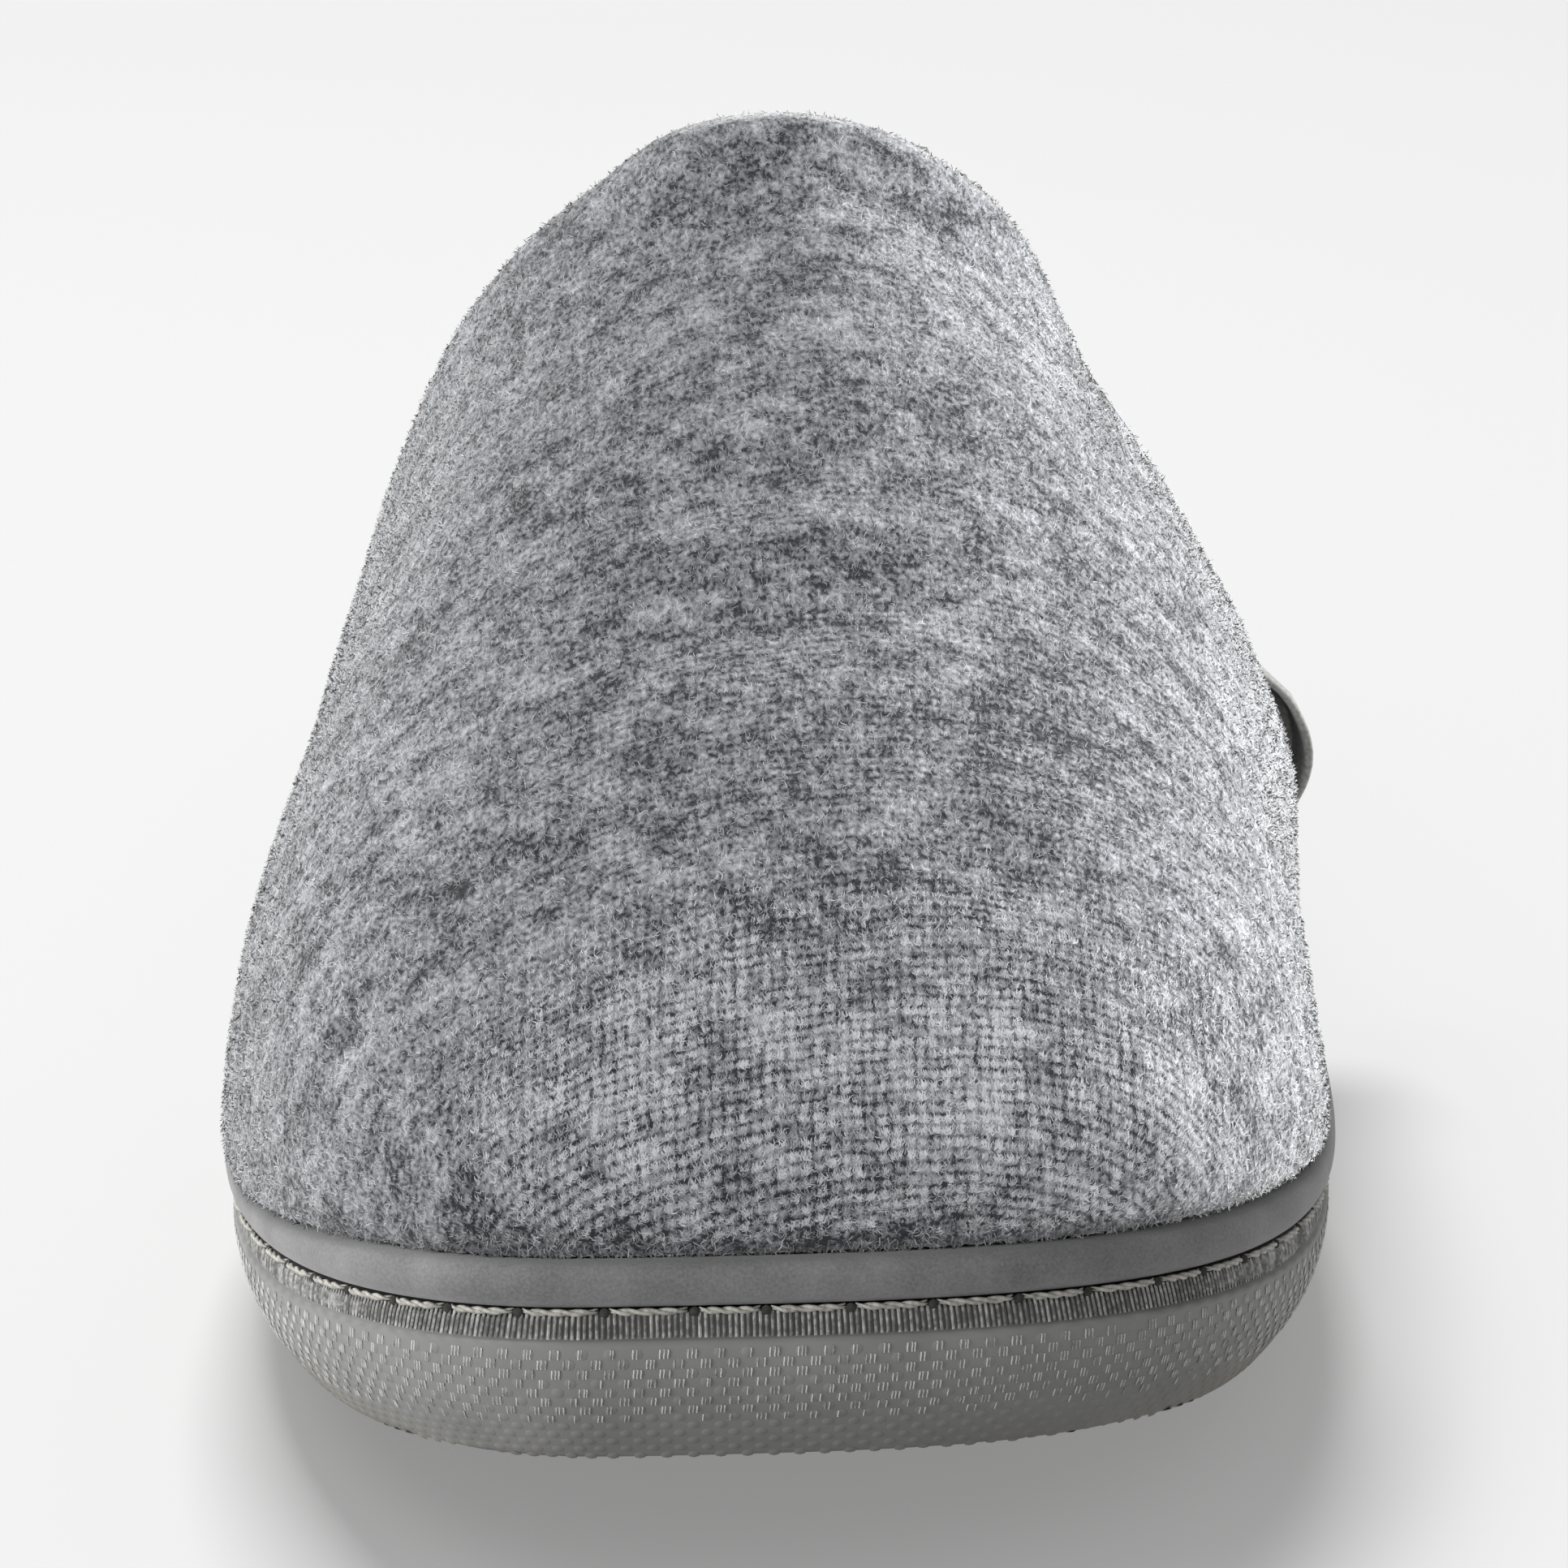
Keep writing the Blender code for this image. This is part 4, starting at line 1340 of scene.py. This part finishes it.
# %% Fibres
ROOT_LIFT = 0.02 * MM
STRIP = [[0, 2, 3, 1], [2, 4, 3]]
STRIP_POINTS = 5
FIBRE_SIZES = (0.5, 1.4)
FIBRE_RISES = (0.1, 1.0)
FIBRE_WIDTHS = (0.6, 1.2)
FIBRE_BEND = 0.3
FIBRE_TILT = 0.8
LOOP_WANDER = 0.12
# Usual numbers of a sine hash: a number for each loop that looks random but is always the same.
HASH_WAY = (12.9898, 78.233)
HASH_SIZE = 43758.5453


def fibres(name, spots, away, run, length, width, lift, tones, calm):
    """Mesh of bent strips on the spots: run is the way each one lies, calm makes its melange livelier."""
    count = len(spots)
    side = np.cross(away, run)
    side /= np.linalg.norm(side, axis=1, keepdims=True)
    run = np.cross(side, away)
    size = rng.uniform(*FIBRE_SIZES, count)[:, None] * length
    bend = rng.uniform(-FIBRE_BEND, FIBRE_BEND, count)[:, None] * size
    rise = rng.uniform(*FIBRE_RISES, count)[:, None] ** 2 * lift
    thick = rng.uniform(*FIBRE_WIDTHS, count)[:, None] * width / 2
    flat = (side + away * rng.uniform(-FIBRE_TILT, FIBRE_TILT, count)[:, None]) * thick
    root = spots + away * ROOT_LIFT
    middle = spots + run * size * 0.5 + side * bend + away * rise * 0.8
    tip = spots + run * size + side * bend * 0.4 + away * rise * 1.2
    clouds = np.stack([root - flat, root + flat, middle - flat, middle + flat, tip], 1)
    piece = joined(name, clouds, STRIP, tones)
    note(piece.data, "calm", np.repeat(calm, STRIP_POINTS))
    lie = piece.data.attributes.new("lie", "FLOAT_VECTOR", "POINT")
    lie.data.foreach_set("vector", np.repeat(away, STRIP_POINTS, 0).astype(np.float32).ravel())
    return piece


def on_loops(chart):
    """How near each place of the chart is to the middle of a knit loop, 0 to 1, and a tone for each loop."""
    wander = np.stack([np.sin(chart[:, 1] * 1.3) + np.sin(chart[:, 0] * 0.9), np.sin(chart[:, 0] * 1.1)], 1)
    count = (chart + LOOP_WANDER * wander) / (WALE_MM, COURSE_MM)
    wave = np.cos(2 * math.pi * count)
    own = np.modf(np.abs(np.sin(np.round(count) @ HASH_WAY) * HASH_SIZE))[0]
    return (0.6 + 0.4 * wave[:, 0]) * (0.5 + 0.5 * wave[:, 1]), own


print("points in a fibre:", STRIP_POINTS)

# %% [markdown]
# ## Fibre tone
# A fibre takes its tone from its own shade and from the same melange as the cloth below, so the pile and
# the knit carry one pattern. Its normal is the cloth's, read from the attribute called lie; the
# renderer's correction for bumps is off, because it would darken strips that lean away from it.

# %% Nap finish
FIBRE_DARK = "#3c3e42"
FIBRE_LIGHT = "#cccdd1"
FIBRE_WEIGHT = 0.75
FIBRE_LEVEL = 0.07
FLANK_KEENER = 0.1

# Wool-like fibre: matt, with a strong bloom of light along its length.
wool, tree, shader = material(
    "brushed_fibre", Roughness=0.9, Sheen_Weight=0.9, Sheen_Roughness=0.4, Specular_IOR_Level=0.1
)
wool.cycles.use_bump_map_correction = False
tone = node(tree, "ShaderNodeAttribute", attribute_name="shade").outputs["Fac"]
mixed = node(tree, MATH, [(0, tone), (1, FIBRE_WEIGHT), (2, FIBRE_LEVEL)], operation="MULTIPLY_ADD")
flank = node(tree, "ShaderNodeAttribute", attribute_name="calm").outputs["Fac"]
keen = node(tree, MATH, [(0, flank), (1, FLANK_KEENER), (2, 1.0)], operation="MULTIPLY_ADD")
inputs = [(0, melange(tree)), (1, keen.outputs[0]), (2, mixed.outputs[0])]
mixed = node(tree, MATH, inputs, operation="MULTIPLY_ADD")
inputs = [(0, mixed.outputs[0]), (1, linear(FIBRE_DARK)), (2, linear(FIBRE_LIGHT))]
colour = node(tree, MIX, inputs, use_clamp=True)
tree.links.new(colour.outputs[0], shader.inputs["Base Color"])
lie = node(tree, "ShaderNodeAttribute", attribute_name="lie").outputs["Vector"]
tree.links.new(lie, shader.inputs["Normal"])
print("fibre nodes:", len(tree.nodes))

# %% [markdown]
# ## Nap
# The nap lies every way, but mostly along the shoe, as the brush went. It is painted paler on the
# flanks, as painted sheen, and keeps a trace of the rows near the toe. It is cut into three pieces,
# since a single mesh would be too heavy for a game or a printer.

# %% Lay the nap
NAP_PIECES = 3
NAP_PER_PIECE = 46000
NAP_LENGTH = 0.62 * MM
NAP_WIDTH = 0.08 * MM
NAP_LIFT = 0.40 * MM
NAP_WAY = (1.0, 2.2, 1.0)
NAP_TONE = 0.5
NAP_SPREAD = 0.7
NAP_ROWS = 0.28
LOOP_MEAN = 0.3
NAP_PAINTED_SHEEN = 0.28
FLANK_U = (28.0, 58.0)
ROWS_FADE_V = (55.0, 110.0)
TOE_SHARE = 0.12

share = TOE_SHARE + (1 - TOE_SHARE) * brushed_over()
for number in range(NAP_PIECES):
    spots, away, chart = scatter(NAP_PER_PIECE, share)
    any_way = rng.normal(size=spots.shape) * NAP_WAY
    flank = ramp(np.abs(chart[:, 0]), *FLANK_U)
    spread = (rng.random(NAP_PER_PIECE) - 0.5) * NAP_SPREAD
    rows_show = NAP_ROWS * (1 - ramp(chart[:, 1], *ROWS_FADE_V))
    # Painted sheen on the flanks, plus a trace of the rows near the toe.
    tones = NAP_TONE + spread + NAP_PAINTED_SHEEN * flank + rows_show * (on_loops(chart)[0] - LOOP_MEAN)
    nap = fibres("nap_%d" % (number + 1), spots, away, any_way, NAP_LENGTH, NAP_WIDTH, NAP_LIFT, tones, flank)
    finish_piece(nap, "upper", wool)

# %% [markdown]
# ## Toe tufts
# At the toe each knit loop shows as a small brushed tuft. More fibres are thrown there than are needed,
# and only those that land on a loop stay, so a loop becomes a soft light tuft with dark gaps round it.

# %% Toe tufts
TUFT_PIECES = 2
TUFT_THROWN = 90000
TUFT_LENGTH = 0.52 * MM
TUFT_WIDTH = 0.085 * MM
TUFT_LIFT = 0.30 * MM
TUFT_FROM = 1.5 * MM
TUFT_STRAY = 0.5
TONE_STRAY = 0.22
TUFT_TONE = 0.25
TUFT_OWN = 0.55
TUFT_MIDDLE = 0.50
COLUMN_WAY = (0.0, 0.5, 0.85)
NOT_ZERO = 1e-9

for number in range(TUFT_PIECES):
    spots, away, chart = scatter(TUFT_THROWN, (1 - brushed_over()) * (above > TUFT_FROM) + NOT_ZERO)
    near, own = on_loops(chart)
    keep = rng.random(TUFT_THROWN) < near
    stray = rng.normal(0, TONE_STRAY, TUFT_THROWN)
    tones = (TUFT_TONE + TUFT_OWN * own + TUFT_MIDDLE * near + stray)[keep]
    run = np.array(COLUMN_WAY) + rng.normal(0, TUFT_STRAY, (keep.sum(), 3))
    name = "toe_tufts_%d" % (number + 1)
    tufts = fibres(name, spots[keep], away[keep], run, TUFT_LENGTH, TUFT_WIDTH, TUFT_LIFT, tones, 0 * tones)
    finish_piece(tufts, "upper", wool)

# %% [markdown]
# ## Fringe
# Where the knit meets the piping its cut edge frays. Longer loose fibres hang over the joint, a little paler
# in one place at the toe, and painted darker on the outer side as painted shade.

# %% Fringe at the piping
FRINGE_COUNT = 9000
FRINGE_LENGTH = 0.9 * MM
FRINGE_WIDTH = 0.09 * MM
FRINGE_LIFT = 0.5 * MM
FRINGE_BAND = (-0.8 * MM, 1.6 * MM)
FRINGE_STRAY = 0.7
FRINGE_TONES = 0.8
PALE_X_MM = -21
PALE_WIDTH_MM = 9
PALE_FRONT_Y = -0.1
PALE_MORE = 0.25
SHADE_FROM_X = 0.02
FRINGE_PAINTED_SHADE = 0.35

at_edge = ((above > FRINGE_BAND[0]) & (above < FRINGE_BAND[1])) + NOT_ZERO
spots, away, chart = scatter(FRINGE_COUNT, at_edge)
hang = np.tile((0.0, 0.0, -1.0), (FRINGE_COUNT, 1)) + rng.normal(0, FRINGE_STRAY, (FRINGE_COUNT, 3))
pale = PALE_MORE * np.exp(-(((spots[:, 0] / MM - PALE_X_MM) / PALE_WIDTH_MM) ** 2))
pale = pale * (spots[:, 1] < PALE_FRONT_Y)
# Painted shade: fringe fibres on the outer side are made darker.
tones = rng.random(FRINGE_COUNT) * FRINGE_TONES + pale - FRINGE_PAINTED_SHADE * (spots[:, 0] > SHADE_FROM_X)
fringe = fibres(
    "edge_fringe", spots, away, hang, FRINGE_LENGTH, FRINGE_WIDTH, FRINGE_LIFT, tones, 0 * pale
)
finish_piece(fringe, "upper", wool)

# %% [markdown]
# ## Collar binding
# A woven tape folded over the back edge of the upper. It goes through the same pushes and creases as the
# wall, so it stays on its edge. On the outer face the brushed knit hides it, apart from the wing on the
# little-toe side, which curls out and shows a crescent of the tape.

# %% Collar binding
TAPE_SINK = 1.9 * MM
CRESCENT = ((57, -1, 27), 19, 2.5)
TAPE_LIGHT = "#8a8a87"
TAPE_SHADE = "#6a6a68"
TAPE_THREAD_MM = 0.5

binding = soft_form("collar_tape", cage("collar_binding", 0.3))
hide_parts("collar_binding")
tape = corners(binding)
skin_ways = np.array([plain_skin.find_nearest(Vector(place))[1] for place in tape])
spoke = (tape - HEART) * (1, 0, 1)
spoke /= np.linalg.norm(spoke, axis=1, keepdims=True)
lie = np.sum(skin_ways * spoke, 1)
place, reach, amount = CRESCENT
crescent = nearness(tape, place, reach)
moved = creased(pushed(tape, spoke), spoke) + spoke * (crescent * amount * MM)[:, None]
moved -= spoke * (np.clip(2 * lie, 0, 1) * (1 - np.clip(crescent * 3, 0, 1)) * TAPE_SINK)[:, None]
put_back(binding, moved)
# Cotton tape: a flat dull weave, too fine to show as threads, so it only mottles.
woven = mottled(
    "woven_cotton_tape", TAPE_THREAD_MM, 3.0, (0.3, 0.7), TAPE_SHADE, TAPE_LIGHT,
    Roughness=0.9, Specular_IOR_Level=0.15,
)
finish_piece(binding, "collar_binding", woven)
